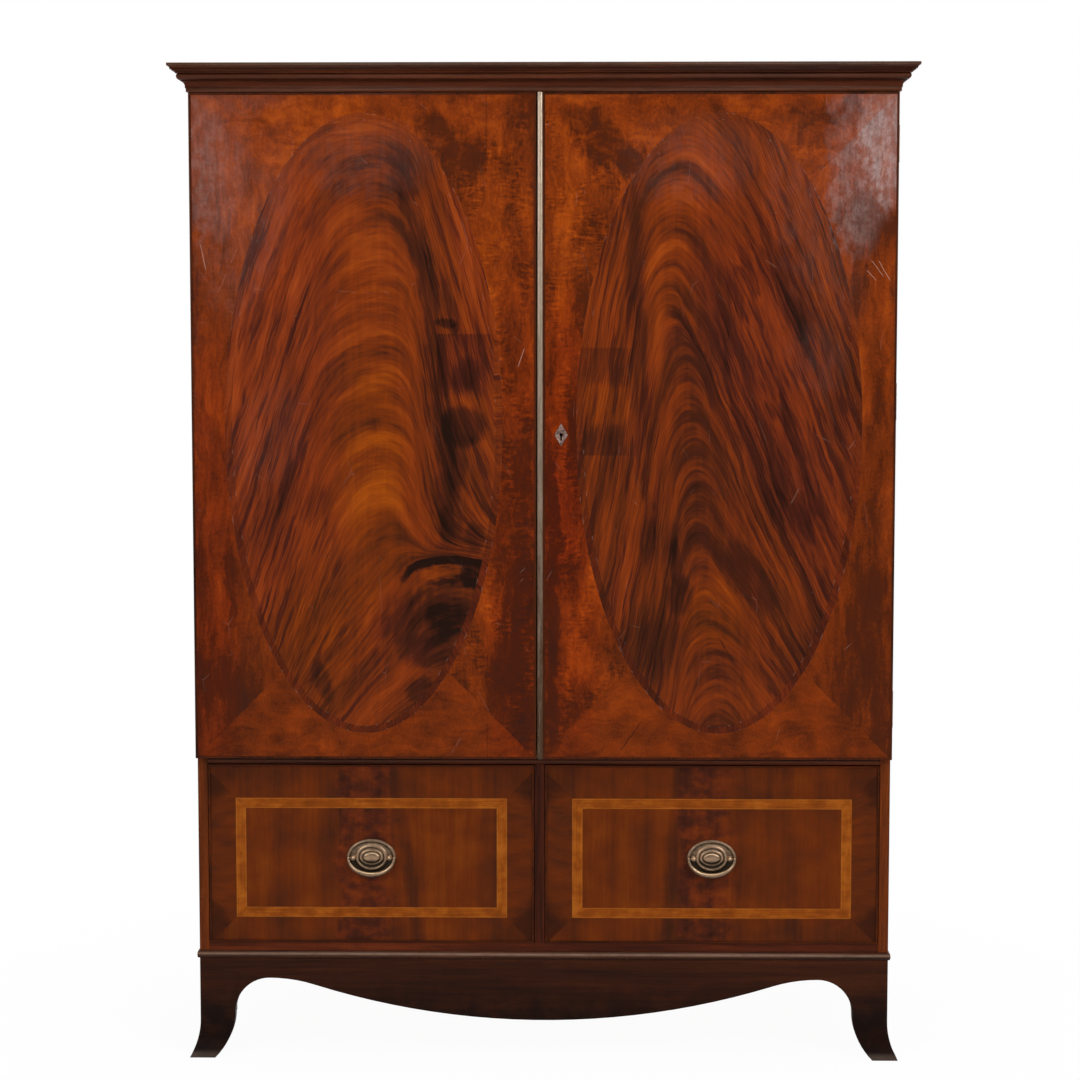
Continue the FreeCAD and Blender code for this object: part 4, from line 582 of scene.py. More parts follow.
def flame_oval(side, woods):
    """Oval flame panel with its crossbanded ring."""
    plan = FLAMES[side]
    paint = Paint(f"flame veneer {side}")
    middle_x, middle_z, half_x, half_z = oval_of(f"{side}_door_oval")
    tone, red, relief = flame_figure(paint, plan)
    orange = paint.ramp(tone, (0.10, woods.figure_black), (0.31, woods.figure_dark),
                        (0.48, woods.figure_mid), (0.63, woods.figure_warm),
                        (0.86, woods.figure_light))
    plum = paint.ramp(tone, (0.10, woods.figure_black), (0.32, woods.plum_dark),
                      (0.50, woods.plum_mid), (0.80, woods.plum_light))
    colour = paint.mix(red.share(), orange, plum)

    across, up = paint.x - middle_x, paint.z - middle_z
    band = woods.ring_width

    def from_middle(wide, high):
        a, b = across / wide, up / high
        return (a * a + b * b).root()

    inner, outer = from_middle(half_x - band, half_z - band), from_middle(half_x, half_z)
    pull = from_middle(half_x ** 2, half_z ** 2)
    from_edge = (1.0 - outer) * outer / pull
    ring = inner.rise(0.9985, 1.0005)
    turn = paint.node("ShaderNodeMath", {"operation": "ARCTAN2"}, (up / half_z, across / half_x))
    cross = paint.noise((turn * 95, from_edge / 26, plan["seed"]), 3.0, 0.65)
    patch = paint.noise((turn * 7, 0.3, plan["seed"]))
    ring_tone = 0.5 + (cross - 0.5) * 1.1 + (patch - 0.5) * 1.0
    ring_colour = paint.ramp(ring_tone, (0.2, woods.figure_black), (0.5, woods.ring_dark),
                             (0.85, woods.ring_light))
    clear = 0.14 + 0.56 * paint.z.fall(700.0, 1350.0)
    colour = paint.mix(ring * clear, colour, ring_colour)
    joint = (abs(from_edge - 0.4).fall(0.35, 0.95)
             + abs(from_edge - band).fall(0.25, 0.9)).least(1.0)
    along = paint.noise((turn * 9, 0.7, 2.0), 3.0)
    gap = joint * along.rise(0.40, 0.66)
    colour = paint.mix(gap * (0.30 + 0.30 * clear), colour, woods.figure_black)
    chalk = joint * paint.noise((turn * 26, from_edge / 3, 5.0), 3.0).rise(0.57, 0.66)
    colour = paint.mix(chalk * 0.35, colour, woods.dust)
    marks = scuffs(paint, plan["seed"] + 20)
    colour = paint.mix(marks * 0.18, colour, woods.dust)
    if plan["cracks"]:
        split = hair_lines(paint, plan["cracks"], relief * 8.0, 2.2)
        colour = paint.mix(split * 0.6, colour, woods.figure_black)
    # Wax bloom, and a painted reflection of the studio lights at the door's top outer corner.
    bloom_and_haze_mask = bloom_and_painted_haze(paint, BLOOMS_AND_PAINTED_HAZE[side], plan["seed"] + 30)
    colour = paint.mix(bloom_and_haze_mask, colour, woods.bloom_and_painted_haze)
    cloud = paint.grain(paint.x, paint.z, 130, 170, 4.0, 3.0)
    rough = woods.polish + cloud * 0.24 - relief * 0.10 + marks * 0.2 + gap * 0.2 + bloom_and_haze_mask * 0.3
    normal = paint.bump(relief * 0.5 + 0.5 - gap * 0.8, 0.10, 0.6, old_surface(paint, 1.0))
    return paint.finish(colour, rough, normal, woods.shine)


# Lively is the x where the figure is calm and the x where it is busy. Smears and light clouds are
# spots, then what they add to the tone. Joints are upright seams: x, foot and head. Crimson spots
# end with their strength. Mitres say how clear each corner's joint is: foot left, foot right, head
# left, head right. Scratches and cracks are (middle x, middle z, lean, half length).
BORDERS = {
    "left": {
        "seed": 5.4,
        "lively": (-400.0, -150.0),
        "spots": (
            ((-184, 1630, 26, 44, -0.3), -0.18), ((-138, 1592, 38, 48, 0.2, 0.8), -0.2),
            ((-126, 1520, 18, 28), -0.05), ((-40, 1672, 32, 36, 0.5), -0.12),
            ((-430, 1664, 90, 22), 0.08), ((-74, 1650, 14, 40), 0.1), ((-45, 1360, 22, 120), -0.03),
            ((-600, 1100, 12, 420), -0.06), ((-548, 850, 10, 110), -0.14),
            ((-596, 770, 22, 130), -0.08), ((-48, 790, 34, 110), -0.12),
            ((-92, 720, 26, 70, -0.4), -0.07), ((-34, 590, 22, 36), -0.12),
            ((-34, 860, 18, 320), -0.13), ((-92, 800, 20, 50), 0.08), ((-540, 640, 50, 110), -0.09),
            ((-60, 1060, 16, 120), -0.07), ((-84, 1400, 26, 130), 0.09), ((-524, 1490, 26, 36), 0.09),
            ((-30, 985, 26, 60), -0.05), ((-60, 900, 34, 250), -0.05),
        ),
        "joints": ((-98.0, 1592.0, 1702.0), (-98.0, 541.0, 602.0)),
        "crimson": (
            ((-36, 850, 64, 520), 0.42), ((-592, 880, 60, 420), 0.5),
        ),
        "mitres": (0.5, 0.4, 0.05, 0.05),
        "scratches": (
            (-38.0, 1246.0, 0.35, 16.0), (-590.0, 1420.0, -0.2, 22.0),
        ),
        "cracks": ((-52.0, 585.0, 1.1, 10.0),),
    },
    "right": {
        "seed": 14.2,
        "lively": (400.0, 150.0),
        "spots": (
            ((72, 1655, 34, 26), -0.14), ((108, 1610, 46, 40, -0.4), -0.2),
            ((150, 1584, 20, 26, 0.3), -0.16), ((56, 1600, 22, 34), 0.06), ((50, 1495, 16, 40), 0.1),
            ((474, 1598, 32, 18, 0.3), 0.03), ((468, 1645, 36, 38), -0.16),
            ((240, 1672, 90, 28), -0.07), ((530, 1664, 28, 28), -0.15), ((560, 1480, 44, 50), -0.13),
            ((548, 1190, 24, 70), 0.13), ((40, 900, 30, 230), -0.06), ((548, 1370, 14, 56), -0.14),
            ((68, 1330, 14, 50, 0.0, 0.8), -0.14), ((34, 1330, 16, 300, 0.0, 0.8), 0.07),
            ((58, 1100, 14, 90, 0.0, 0.8), -0.12), ((74, 780, 26, 110, 0.15), 0.12),
            ((110, 680, 40, 50, -0.5), 0.06), ((92, 742, 16, 44, -0.3), -0.12),
            ((14, 830, 14, 330), -0.17), ((575, 1000, 26, 330), -0.07), ((560, 760, 60, 240), -0.06),
            ((602, 1050, 10, 330), 0.05), ((545, 780, 30, 160), -0.07),
        ),
        "joints": (),
        "crimson": (
            ((36, 1110, 50, 240), 0.55), ((36, 800, 64, 300), 0.4),
        ),
        "mitres": (0.08, 0.5, 0.05, 0.5),
        "scratches": (
            (578.0, 1400.0, -0.75, 14.0), (590.0, 1396.0, -0.6, 17.0), (568.0, 1388.0, -0.9, 9.0),
            (584.0, 1560.0, 0.4, 12.0),
        ),
        "cracks": ((155.5, 584.0, 0.73, 26.0),),
    },
}


def door_border(side, woods):
    """Four mitred corner veneers: flamed sides, curled head, quiet foot."""
    plan = BORDERS[side]
    seed = plan["seed"]
    paint = Paint(f"border veneer {side}")
    start, end, _, _, bottom, top = sides_of(f"{side}_door_core")
    left, right = paint.x - start, end - paint.x
    foot, head = paint.z - bottom, top - paint.z
    side_near = left.least(right)
    at_head = (foot - head).rise(-1.0, 1.0)
    low_clear, high_clear = (
        (left - right).rise(-1.0, 1.0) * (there - here) + here
        for here, there in (plan["mitres"][:2], plan["mitres"][2:]))
    clear = at_head * (high_clear - low_clear) + low_clear
    smear = paint.grain(paint.x, paint.z, 14, 14, seed + 50, 3.0, 0.6)
    faint = (0.45 - clear).most(0.0)
    edge = foot.least(head) - side_near + smear * faint * 70
    width = faint * 30 + 0.4
    at_side = edge.rise(-width, width)
    calm, busy = plan["lively"]
    lively = ((paint.x - calm) / (busy - calm)).share()
    drift = paint.grain(paint.x, paint.z, 70, 120, seed, 2.0, 0.6)
    twist = paint.grain(paint.x, paint.z, 64, 60, seed + 30, 2.0, 0.6)
    x, z = paint.x + drift * 40, paint.z + twist * 60

    puff = paint.grain(x, z, 46, 40, seed + 40)
    tall = paint.grain(x, z, 30, 95, seed)
    cloud = at_side * (tall - puff) + puff
    where = paint.noise((paint.x / 30, paint.z / 55, seed + 33)).rise(0.42, 0.62)
    bars = (paint.x / 16, paint.z / 5.2 + twist * 4, seed + 2)
    ripple = (paint.noise(bars, 2.0, 0.55) - 0.5) * where
    flame = paint.grain(x, z, 8, 62, seed + 3, 3.0, 0.62)
    fleck = paint.grain(x, z, 5, 12, seed + 6, 3.0, 0.6)
    sides = (0.47 - foot.fall(40.0, 260.0) * 0.10 + cloud * (0.42 + lively * 0.10)
             + ripple * (0.14 + lively * 0.48) + flame * (0.34 - lively * 0.20)
             + fleck * (0.14 + lively * 0.16))
    curl = paint.grain(x, z, 26, 9, seed + 5, 4.0, 0.62)
    heads = 0.53 + cloud * 0.50 + curl * 0.34 + fleck * 0.22
    quiet = paint.grain(x, z, 80, 7, seed + 7, 3.0, 0.6)
    feet = 0.45 + cloud * 0.45 + quiet * 0.24
    ends = at_head * (heads - feet) + feet
    silk = paint.grain(paint.x, paint.z, 2.0, 5.0, seed + 8)
    tone = at_side * (sides - ends) + ends + silk * 0.22
    ragged = paint.grain(x, z, 11, 30, seed + 1, 4.0, 0.66)
    u = paint.x + ragged * 40 + drift * 30
    v = paint.z + ragged * 60 + twist * 30
    for spot, light in plan["spots"]:
        tone = tone + blob(u, v, *spot) * light
    colour = paint.ramp(tone, (0.06, woods.border_smoke), (0.33, woods.border_dark),
                        (0.52, woods.border_mid), (0.72, woods.border_light),
                        (0.94, woods.border_glow))
    for spot, strength in plan["crimson"]:
        colour = paint.mix(blob(u, v, *spot) * strength, colour, woods.crimson, "MULTIPLY")
    mitre = abs(foot.least(head) - side_near).fall(0.2, 1.0) * clear
    worn = paint.noise((paint.x / 20, paint.z / 20, seed + 11)).rise(0.35, 0.6)
    line = mitre * worn
    for across, bottom, top in plan["joints"]:
        seam = abs(paint.x - across).fall(0.3, 1.1)
        line = line.most(seam * paint.z.rise(bottom - 1.0, bottom) * paint.z.fall(top, top + 1.0)
                         * 0.4)
    colour = paint.mix(line, colour, woods.figure_black)
    rim = side_near.least(foot.least(head))
    grime = rim.fall(2.0, 16.0) * paint.noise((paint.x / 30, paint.z / 30, seed + 12), 3.0).rise(0.40, 0.75)
    colour = paint.mix(grime * 0.5, colour, woods.figure_black)
    marks = scuffs(paint, seed + 20)
    marks = (marks * 0.5).most(hair_lines(paint, plan["scratches"], ragged * 3.0, 1.3))
    split = hair_lines(paint, plan["cracks"], ragged * 14.0, 2.2)
    colour = paint.mix(split * 0.6, colour, woods.figure_black)
    colour = paint.mix(marks * 0.5, colour, woods.dust)
    # Wax bloom, and a painted reflection of the studio lights at the door's top outer corner.
    bloom_and_haze_mask = bloom_and_painted_haze(paint, BLOOMS_AND_PAINTED_HAZE[side], seed + 30) * (0.6 + 0.4 * at_side)
    colour = paint.mix(bloom_and_haze_mask, colour, woods.bloom_and_painted_haze)
    haze = paint.grain(paint.x, paint.z, 70, 90, 4.0, 4.0, 0.6)
    rough = woods.polish + 0.02 + haze * 0.30 + marks * 0.2 + grime * 0.1 + bloom_and_haze_mask * 0.2
    normal = paint.bump(tone * 0.4 - line * 0.5, 0.10, 0.5, old_surface(paint, 2.0))
    return paint.finish(colour, rough, normal, woods.shine)


# Where a front lip's own shades give way to the side's, along Y.
LIP_FADE = (-210.0, -204.0)


def case_wood(name, along, woods, shades, seed=0.0, wild=1.0, polish=0.0, stain_and_shade_bands=(), lip=None):
    """Plain polished wood: dark, middle and light shades with the grain along one axis.

    Stain and shade bands are level bands, of real stain or wear or of painted light and shade:
    (foot, head, softness, strength, colour). A lip gives the front edge its own three shades.
    """
    dark, mid, light = shades
    paint = Paint(name)
    tone, pores = straight_grain(paint, along, wild, seed)
    colour = paint.ramp(tone, (0.16, dark), (0.5, mid), (0.86, light))
    if lip:
        edge = paint.ramp(tone, *zip((0.16, 0.5, 0.86), lip))
        colour = paint.mix(paint.y.fall(*LIP_FADE), colour, edge)
    colour = paint.mix(pores * 0.35, colour, dark)
    wear = paint.noise((paint.x / 38, paint.y / 38, paint.z / 38 + seed), 4.0, 0.6)
    stain = wear.rise(0.56, 0.72)
    colour = paint.mix(stain * 0.25, colour, dark)
    # Level bands: real stains and wear, or painted shadow, painted shade and painted highlight lines.
    for foot, head, soft, strength, shade in stain_and_shade_bands:
        band = paint.z.rise(foot - soft, foot + soft) * paint.z.fall(head - soft, head + soft)
        colour = paint.mix(band * strength * (0.7 + 0.3 * wear.rise(0.35, 0.6)), colour, shade)
    rough = woods.polish + polish + (wear - 0.5) * 0.28
    normal = paint.bump(tone * 0.6 - pores * 0.5, 0.09, 0.6)
    return paint.finish(colour, rough, normal, woods.shine)


# Each drawer front: its seed, how much darker its strip is, then how far its dark line stands from
# the middle and how it leans.
DRAWER_FIGURES = {"left": (2.7, 0.06, 62.0, -0.17), "right": (8.9, 0.03, -70.0, 0.10)}


def drawer_veneer(side, woods):
    """Upright field with a figured strip, crossbanded borders and dark corners."""
    paint = Paint(f"drawer veneer {side}")
    seed, darker, ribbon, slant = DRAWER_FIGURES[side]
    start, end, _, _, bottom, top = sides_of(f"{side}_drawer_veneer")
    left, right, _, _, foot, head = sides_of(f"{side}_drawer_inlay")
    middle = (start + end) / 2
    drift = paint.grain(paint.x, paint.z, 60, 160, seed)
    x = paint.x + drift * 12
    broad = paint.grain(x, paint.z, 34, 500, seed)
    streak = paint.grain(x, paint.z, 7.5, 170, seed + 1, 3.0, 0.6)
    line = paint.grain(x, paint.z, 1.8, 40, seed + 2)
    smoke = paint.grain(paint.x, paint.z, 70, 60, seed + 9, 3.0, 0.55)
    upright = 0.53 + broad * 0.40 + streak * 0.22 + line * 0.13 + smoke * 0.44
    bend = paint.z + drift * 30
    coarse = paint.noise((paint.x / 60, bend / 14, seed + 3), 3.0, 0.6) - 0.5
    thread = paint.noise((paint.x / 30, bend / 2.2, seed + 4)) - 0.5
    level = 0.53 + coarse * 0.40 + thread * 0.16 + smoke * 0.30

    past_side = (left - paint.x).most(paint.x - right)
    past_end = (foot - paint.z).most(paint.z - head)
    at_side = past_side.rise(-0.3, 0.3) * (past_side - past_end).rise(-0.5, 0.5)
    tone = at_side * (level - upright) + upright
    in_border = past_side.most(past_end).rise(-0.5, 0.5)
    tone = tone - in_border * 0.05

    # The dark figured strip down the middle, with its slanting darker lines.
    wander = paint.noise((0.4, paint.z / 60, seed + 6)) - 0.5
    mottle = paint.grain(x, paint.z, 24, 19, seed + 7, 5.0, 0.6)
    off = paint.x - middle + 12 + wander * 26 + mottle * 22
    strip = (off.rise(-52.0, -44.0) * off.fall(26.0, 66.0)) * (1.0 - at_side)
    tone = tone + strip * (mottle * 0.95 - darker)
    lean = x - middle - ribbon - (paint.z - 360) * slant
    dark_line = abs(lean).fall(3.0, 18.0) * (1.0 - at_side)
    tone = tone - dark_line * 0.13
    glow = abs(x - middle - ribbon * 1.9).fall(10.0, 60.0) * (1.0 - at_side)
    tone = tone + glow * 0.06

    colour = paint.ramp(tone, (0.12, woods.drawer_black), (0.36, woods.drawer_dark),
                        (0.56, woods.drawer_mid), (0.88, woods.drawer_light))
    strip_colour = paint.ramp(tone, (0.10, woods.drawer_black), (0.40, woods.plum_dark),
                              (0.80, woods.plum_mid))
    colour = paint.mix(strip * 0.5, colour, strip_colour)
    edge_x = (paint.x - start).least(end - paint.x)
    edge_z = (paint.z - bottom).least(top - paint.z)
    corner = (edge_x + edge_z + mottle * 40).fall(48.0, 92.0) * in_border
    colour = paint.mix(corner * (0.30 + 0.38 * at_side), colour, woods.drawer_black)
    mitre = abs(past_side - past_end).fall(0.3, 1.6) * in_border
    colour = paint.mix(mitre * (0.12 + 0.3 * corner), colour, woods.drawer_black)
    cloud = paint.grain(paint.x, paint.z, 90, 70, seed, 3.0)
    rough = woods.polish + 0.06 + cloud * 0.2
    normal = paint.bump(paint.noise((paint.x / 60, paint.z / 60, seed)), 0.9, 0.3)
    normal = paint.bump(tone * 0.5 - mitre * 0.4, 0.08, 0.5, normal)
    return paint.finish(colour, rough, normal, woods.shine)


def banding(woods):
    """Light banding: crosscut satinwood between two stringing lines."""
    paint = Paint("light banding")
    masks = []
    for side in SIDES:
        left, right, _, _, foot, head = sides_of(f"{side}_drawer_inlay")
        dx = (paint.x - left).least(right - paint.x)
        dz = (paint.z - foot).least(head - paint.z)
        here = (paint.x - (left - 2)).rise(0, 1) * ((right + 2) - paint.x).rise(0, 1)
        near = dx.least(dz)
        masks.append(((near.fall(0.8, 2.6) + near.rise(15.4, 17.2)).least(1.0) * here,
                      (dz - dx).rise(-0.3, 0.3) * here, abs(dz - dx).fall(0.2, 0.9) * here))
    stringing, runs, mitre = (on_left + on_right for on_left, on_right in zip(*masks))
    cloud = paint.grain(paint.x, paint.z, 34, 26, 1.0, 3.0, 0.6)
    level = paint.grain(paint.x, paint.z, 90, 2.0, 3.0, 3.0)
    plumb = paint.grain(paint.x, paint.z, 2.0, 90, 4.0, 3.0)
    tone = 0.52 + cloud * 0.9 + (runs * (plumb - level) + level) * 0.6 + runs * 0.07
    colour = paint.ramp(tone, (0.14, woods.band_dark), (0.5, woods.band_mid),
                        (0.88, woods.band_light))
    faded = paint.noise((paint.x / 22, paint.z / 22, 8.0)).rise(0.30, 0.55)
    colour = paint.mix(stringing * (0.10 + 0.30 * faded), colour, woods.string_colour)
    colour = paint.mix(mitre * 0.35, colour, woods.band_dark)
    rough = woods.polish + 0.03 + cloud * 0.2
    normal = paint.bump(tone * 0.5 - mitre * 0.5, 0.08, 0.5)
    return paint.finish(colour, rough, normal, woods.shine)


def raw_wood(name, along, shades, seed=0.0, rough=0.62, dovetails=None, boards=0.0):
    """Unpolished wood of the inside and the back: grain, stains, a few knots.

    Dovetails mark a box, as the Y of its front and back faces and the way inwards from each: those
    boards have their grain across, and the sides show the joints. Boards is the width of upright
    boards that differ in grain and tone.
    """
    dark, mid, light = shades
    paint = Paint(name)
    if boards:
        number = paint.node("ShaderNodeMath", {"operation": "FLOOR"}, (paint.x / boards,))
        paint.z = paint.z + number * 731.0
    tone, pores = straight_grain(paint, along, 1.6, seed)
    if dovetails:
        at_side, at_end = (abs(paint.facing(axis)).rise(0.6, 0.9) for axis in "XY")
        level, level_pores = straight_grain(paint, "x", 1.6, seed + 9.0)
        tone = at_end * (level - tone) + tone
        pores = at_end * (level_pores - pores) + pores
    if boards:
        tone = tone + (paint.noise((number * 3.7, 0.4, seed), 0.0) - 0.5) * 0.9
    reach = {axis: 520 if axis == along else 130 for axis in "xyz"}
    spots = paint.cells((paint.x / reach["x"], paint.y / reach["y"], paint.z / reach["z"] + seed))
    knot = spots.fall(0.03, 0.10)
    colour = paint.ramp(tone - knot * 0.5, (0.10, dark), (0.5, mid), (0.9, light))
    colour = paint.mix(pores * 0.3, colour, dark)
    dirt = paint.noise((paint.x / 75, paint.y / 75, paint.z / 75), 4.0, 0.6)
    colour = paint.mix(dirt.rise(0.5, 0.75) * 0.45, colour, dark)
    if boards:
        colour = paint.mix(paint.x.fold(boards * 2).fall(0.6, 1.8).most(
            (boards - paint.x.fold(boards * 2)).fall(0.6, 1.8)) * 0.7, colour, tint("1E120A"))
    cut = None
    if dovetails:
        cut = dovetail_lines(paint, dovetails) * at_side
        colour = paint.mix(cut * 0.55, colour, dark)
    ups = tone * 0.7 - pores * 0.6
    normal = paint.bump(ups if cut is None else ups - cut * 0.6, 0.16, 0.6)
    return paint.finish(colour, rough + (dirt - 0.5) * 0.25, normal, 0.3)


def dovetail_lines(paint, joints):
    """End grain of the pins on box sides, near the box's front and back: a mask."""
    pitch, slope = 24.0, 0.16
    depths = [(paint.y - face_y) * way for face_y, way in joints]
    return reduce(Wire.most, (
        (paint.z.fold(pitch) + deep * slope).fall(4.6, 5.6) * deep.rise(-0.2, 0.2)
        * deep.fall(12.5, 13.5) for deep in depths))


def brass(name, metals, wear=1.0, level=None, shade=0.45):
    """Aged brass: pinkish brown on the rises, olive tarnish in the hollows, painted shade on the faces
    that look down and a painted highlight on the faces that look up.

    Level says where the hollows begin, how deep they are and the height of the plate's middle; the
    hollows in the plate's lower half, and all of the plate below its middle, get painted shade.
    Shade says how much darker the undersides are than the tops, as painted shade, and how strong the
    painted highlight on the tops is.
    """
    paint = Paint(name)
    cloud = paint.noise((paint.x / 6, paint.y / 6, paint.z / 6), 4.0, 0.6)
    speck = paint.noise((paint.x / 0.9, paint.y / 0.9, paint.z / 0.9))
    upward = paint.facing("Z")
    # Under is painted shade on faces that look down; over is a painted highlight on faces that look up.
    under, over = upward.fall(-0.55, 0.15), upward.rise(0.12, 0.60)
    tarnish_and_painted_shade = (cloud.rise(0.36, 0.70) * 0.65 + speck.rise(0.55, 0.75) * 0.35) * wear + under * shade
    if level:
        front, deep, middle = level
        hollow = (paint.y - front).rise(0.0, deep)
        # The hollows' olive tarnish is the brass's own. The plate's lower half is darker in the hollows,
        # and everything below its middle is dulled: both are painted shade.
        lower = paint.z.fall(middle - 8.0, middle + 12.0)
        dull = paint.z.fall(middle - 8.0, middle - 1.0) * 0.45
        tarnish_and_painted_shade = tarnish_and_painted_shade * 0.6 + hollow * (0.50 + 0.40 * lower) + dull
        over = over * paint.y.fall(front, front + 0.7)
    tarnish_and_painted_shade = tarnish_and_painted_shade.least(1.0)
    colour = paint.mix(tarnish_and_painted_shade, metals.brass_bright, metals.brass_tarnish_and_shade)
    # Painted highlight on the raised faces that look up.
    colour = paint.mix(over * shade * (1.0 - tarnish_and_painted_shade), colour, metals.brass_painted_highlight)
    rough = metals.brass_rough + tarnish_and_painted_shade * 0.22 + (speck - 0.5) * 0.12
    normal = paint.bump(cloud * 0.5 + speck * 0.3, 0.05, 0.6)
    return paint.finish(colour, rough, normal, metal=1.0 - tarnish_and_painted_shade * 0.25)


def iron(name, metals):
    """Blackened iron with a little brown rust."""
    paint = Paint(name)
    cloud = paint.noise((paint.x / 8, paint.y / 8, paint.z / 8), 4.0, 0.65)
    rust = cloud.rise(0.5, 0.7)
    colour = paint.mix(rust, metals.iron_dark, metals.iron_rust)
    normal = paint.bump(cloud, 0.12, 0.7)
    return paint.finish(colour, 0.42 + rust * 0.35, normal, metal=0.85 - rust * 0.7)


# ---------------------------------------------------------------- settings a user would change

def colour_setting(name, description, code):
    return bpy.props.FloatVectorProperty(
        name=name, description=description, default=tint(code), size=3, min=0.0, max=1.0,
        subtype="COLOR")


def length_setting(name, description, millimetres):
    return bpy.props.FloatProperty(
        name=name, description=description, default=millimetres * MM, min=0.0, subtype="DISTANCE",
        unit="LENGTH")


def share_setting(name, description, value):
    return bpy.props.FloatProperty(
        name=name, description=description, default=value, min=0.0, max=1.0, subtype="FACTOR")


class PressWoods(bpy.types.PropertyGroup):
    """Colours and polish of the woods."""

    figure_black: colour_setting("Figure black", "Darkest lines of the flame veneer", "1E0D06")
    figure_dark: colour_setting("Figure dark", "Dark streaks of the flame veneer", "451D09")
    figure_mid: colour_setting("Figure middle", "Body of the flame veneer", "6E2C06")
    figure_warm: colour_setting("Figure warm", "Warm streaks of the flame veneer", "8C3F06")
    figure_light: colour_setting("Figure light", "Lightest orange of the flame veneer", "A8540C")
    plum_dark: colour_setting("Plum dark", "Dark plum streaks", "461A0E")
    plum_mid: colour_setting("Plum middle", "Red-brown streaks", "742C0C")
    plum_light: colour_setting("Plum light", "Light red streaks", "9C4416")
    ring_dark: colour_setting("Ring dark", "Dark of the crossbanded ring", "48190A")
    ring_light: colour_setting("Ring light", "Light of the crossbanded ring", "72280C")
    border_smoke: colour_setting("Border smoke", "Smoky places of the door borders", "33180E")
    border_dark: colour_setting("Border dark", "Dark mottle of the door borders", "4A1C06")
    border_mid: colour_setting("Border middle", "Body of the door borders", "742D06")
    border_light: colour_setting("Border light", "Light mottle of the door borders", "98420A")
    border_glow: colour_setting("Border glow", "Brightest mottle of the door borders", "B45C10")
    crimson: colour_setting("Crimson", "Multiplies the redder places of the borders", "FFC8A0")
    drawer_black: colour_setting("Drawer black", "Darkest lines of the drawer veneer", "240E05")
    drawer_dark: colour_setting("Drawer dark", "Dark lines of the drawer veneer", "3F1B09")
    drawer_mid: colour_setting("Drawer middle", "Body of the drawer veneer", "5D2504")
    drawer_light: colour_setting("Drawer light", "Light lines of the drawer veneer", "7E3C06")
    band_dark: colour_setting("Banding dark", "Dark of the light banding", "582A08")
    band_mid: colour_setting("Banding middle", "Body of the light banding", "7D3B08")
    band_light: colour_setting("Banding light", "Light of the light banding", "A45C16")
    string_colour: colour_setting("Stringing", "Lines each side of the banding", "A4621C")
    case_dark: colour_setting("Case dark", "Dark grain of the case", "2A1008")
    case_mid: colour_setting("Case middle", "Body of the case", "4A1D0B")
    case_light: colour_setting("Case light", "Light grain of the case", "682B0E")
    pine_dark: colour_setting("Pine dark", "Dark grain of the aged pine", "5E3A1F")
    pine_mid: colour_setting("Pine middle", "Body of the aged pine", "95683A")
    pine_light: colour_setting("Pine light", "Light grain of the aged pine", "B98F5E")
    oak_dark: colour_setting("Oak dark", "Dark grain of the oak linings", "5A3519")
    oak_mid: colour_setting("Oak middle", "Body of the oak linings", "91633A")
    oak_light: colour_setting("Oak light", "Light grain of the oak linings", "B48A5A")
    dust: colour_setting("Scratch", "Dry scratches in the polish", "A88070")
    # Colour of the wax bloom, and of the painted reflection of the studio lights at the doors' top corners.
    bloom_and_painted_haze: colour_setting("Bloom", "Milky bloom in the old wax", "9C8784")
    polish: share_setting("Polish roughness", "Roughness of the old wax polish", 0.34)
    shine: share_setting("Polish strength", "How strongly the old wax reflects", 0.07)
    ring_width: bpy.props.FloatProperty(
        name="Ring width (mm)", description="Width of the crossbanded ring of each oval",
        default=12.0, min=4.0, max=20.0)
    edge_round: length_setting("Edge wear", "Radius that handling gave the wood's edges", 0.9)


class PressMetals(bpy.types.PropertyGroup):
    """Colours and wear of the metals."""

    # Painted highlight colour, laid on the brass faces that look up.
    brass_painted_highlight: colour_setting("Brass rubbed", "Upper edges of the brass", "F0CDA0")
    brass_bright: colour_setting("Brass bright", "Handled brass", "B39276")
    # Tarnish in the hollows, and also the painted shade on undersides and on the plates' lower half.
    brass_tarnish_and_shade: colour_setting("Brass dull", "Tarnish on brass", "2E2314")
    keyhole_light: colour_setting("Keyhole plate light", "Dry brass round the keyhole", "96796E")
    keyhole_dark: colour_setting("Keyhole plate dark", "Its tarnish", "4E3A30")
    strip_bright: colour_setting("Strip bright", "Rubbed metal of the closing strip", "B09C88")
    strip_dull: colour_setting("Strip dull", "Dull metal of the closing strip", "46301F")
    iron_dark: colour_setting("Iron", "Blackened iron", "3A3533")
    iron_rust: colour_setting("Rust", "Rust on iron", "5A3522")
    brass_rough: share_setting("Brass roughness", "Roughness of rubbed brass", 0.30)


class PressFittings(bpy.types.PropertyGroup):
    """Sizes of the cast and stamped fittings."""

    plate_half_width: length_setting("Plate half width", "Oval handle plate, from its middle", 44.0)
    plate_half_height: length_setting("Plate half height", "Oval handle plate, from its middle", 33.0)
    post_spacing: length_setting("Post spacing", "Between the two handle posts", 64.0)
    bail_half_width: length_setting("Bail half width", "Middle line of the bail", 40.5)
    bail_drop: length_setting("Bail drop", "Middle line of the bail below its posts", 30.0)
    bail_thin: length_setting("Bail end radius", "Bail bar at the posts", 2.2)
    bail_thick: length_setting("Bail middle radius", "Bail bar at its lowest point", 4.4)
    nail_head: length_setting("Nail head radius", "Nails that hold the back boards", 3.2)


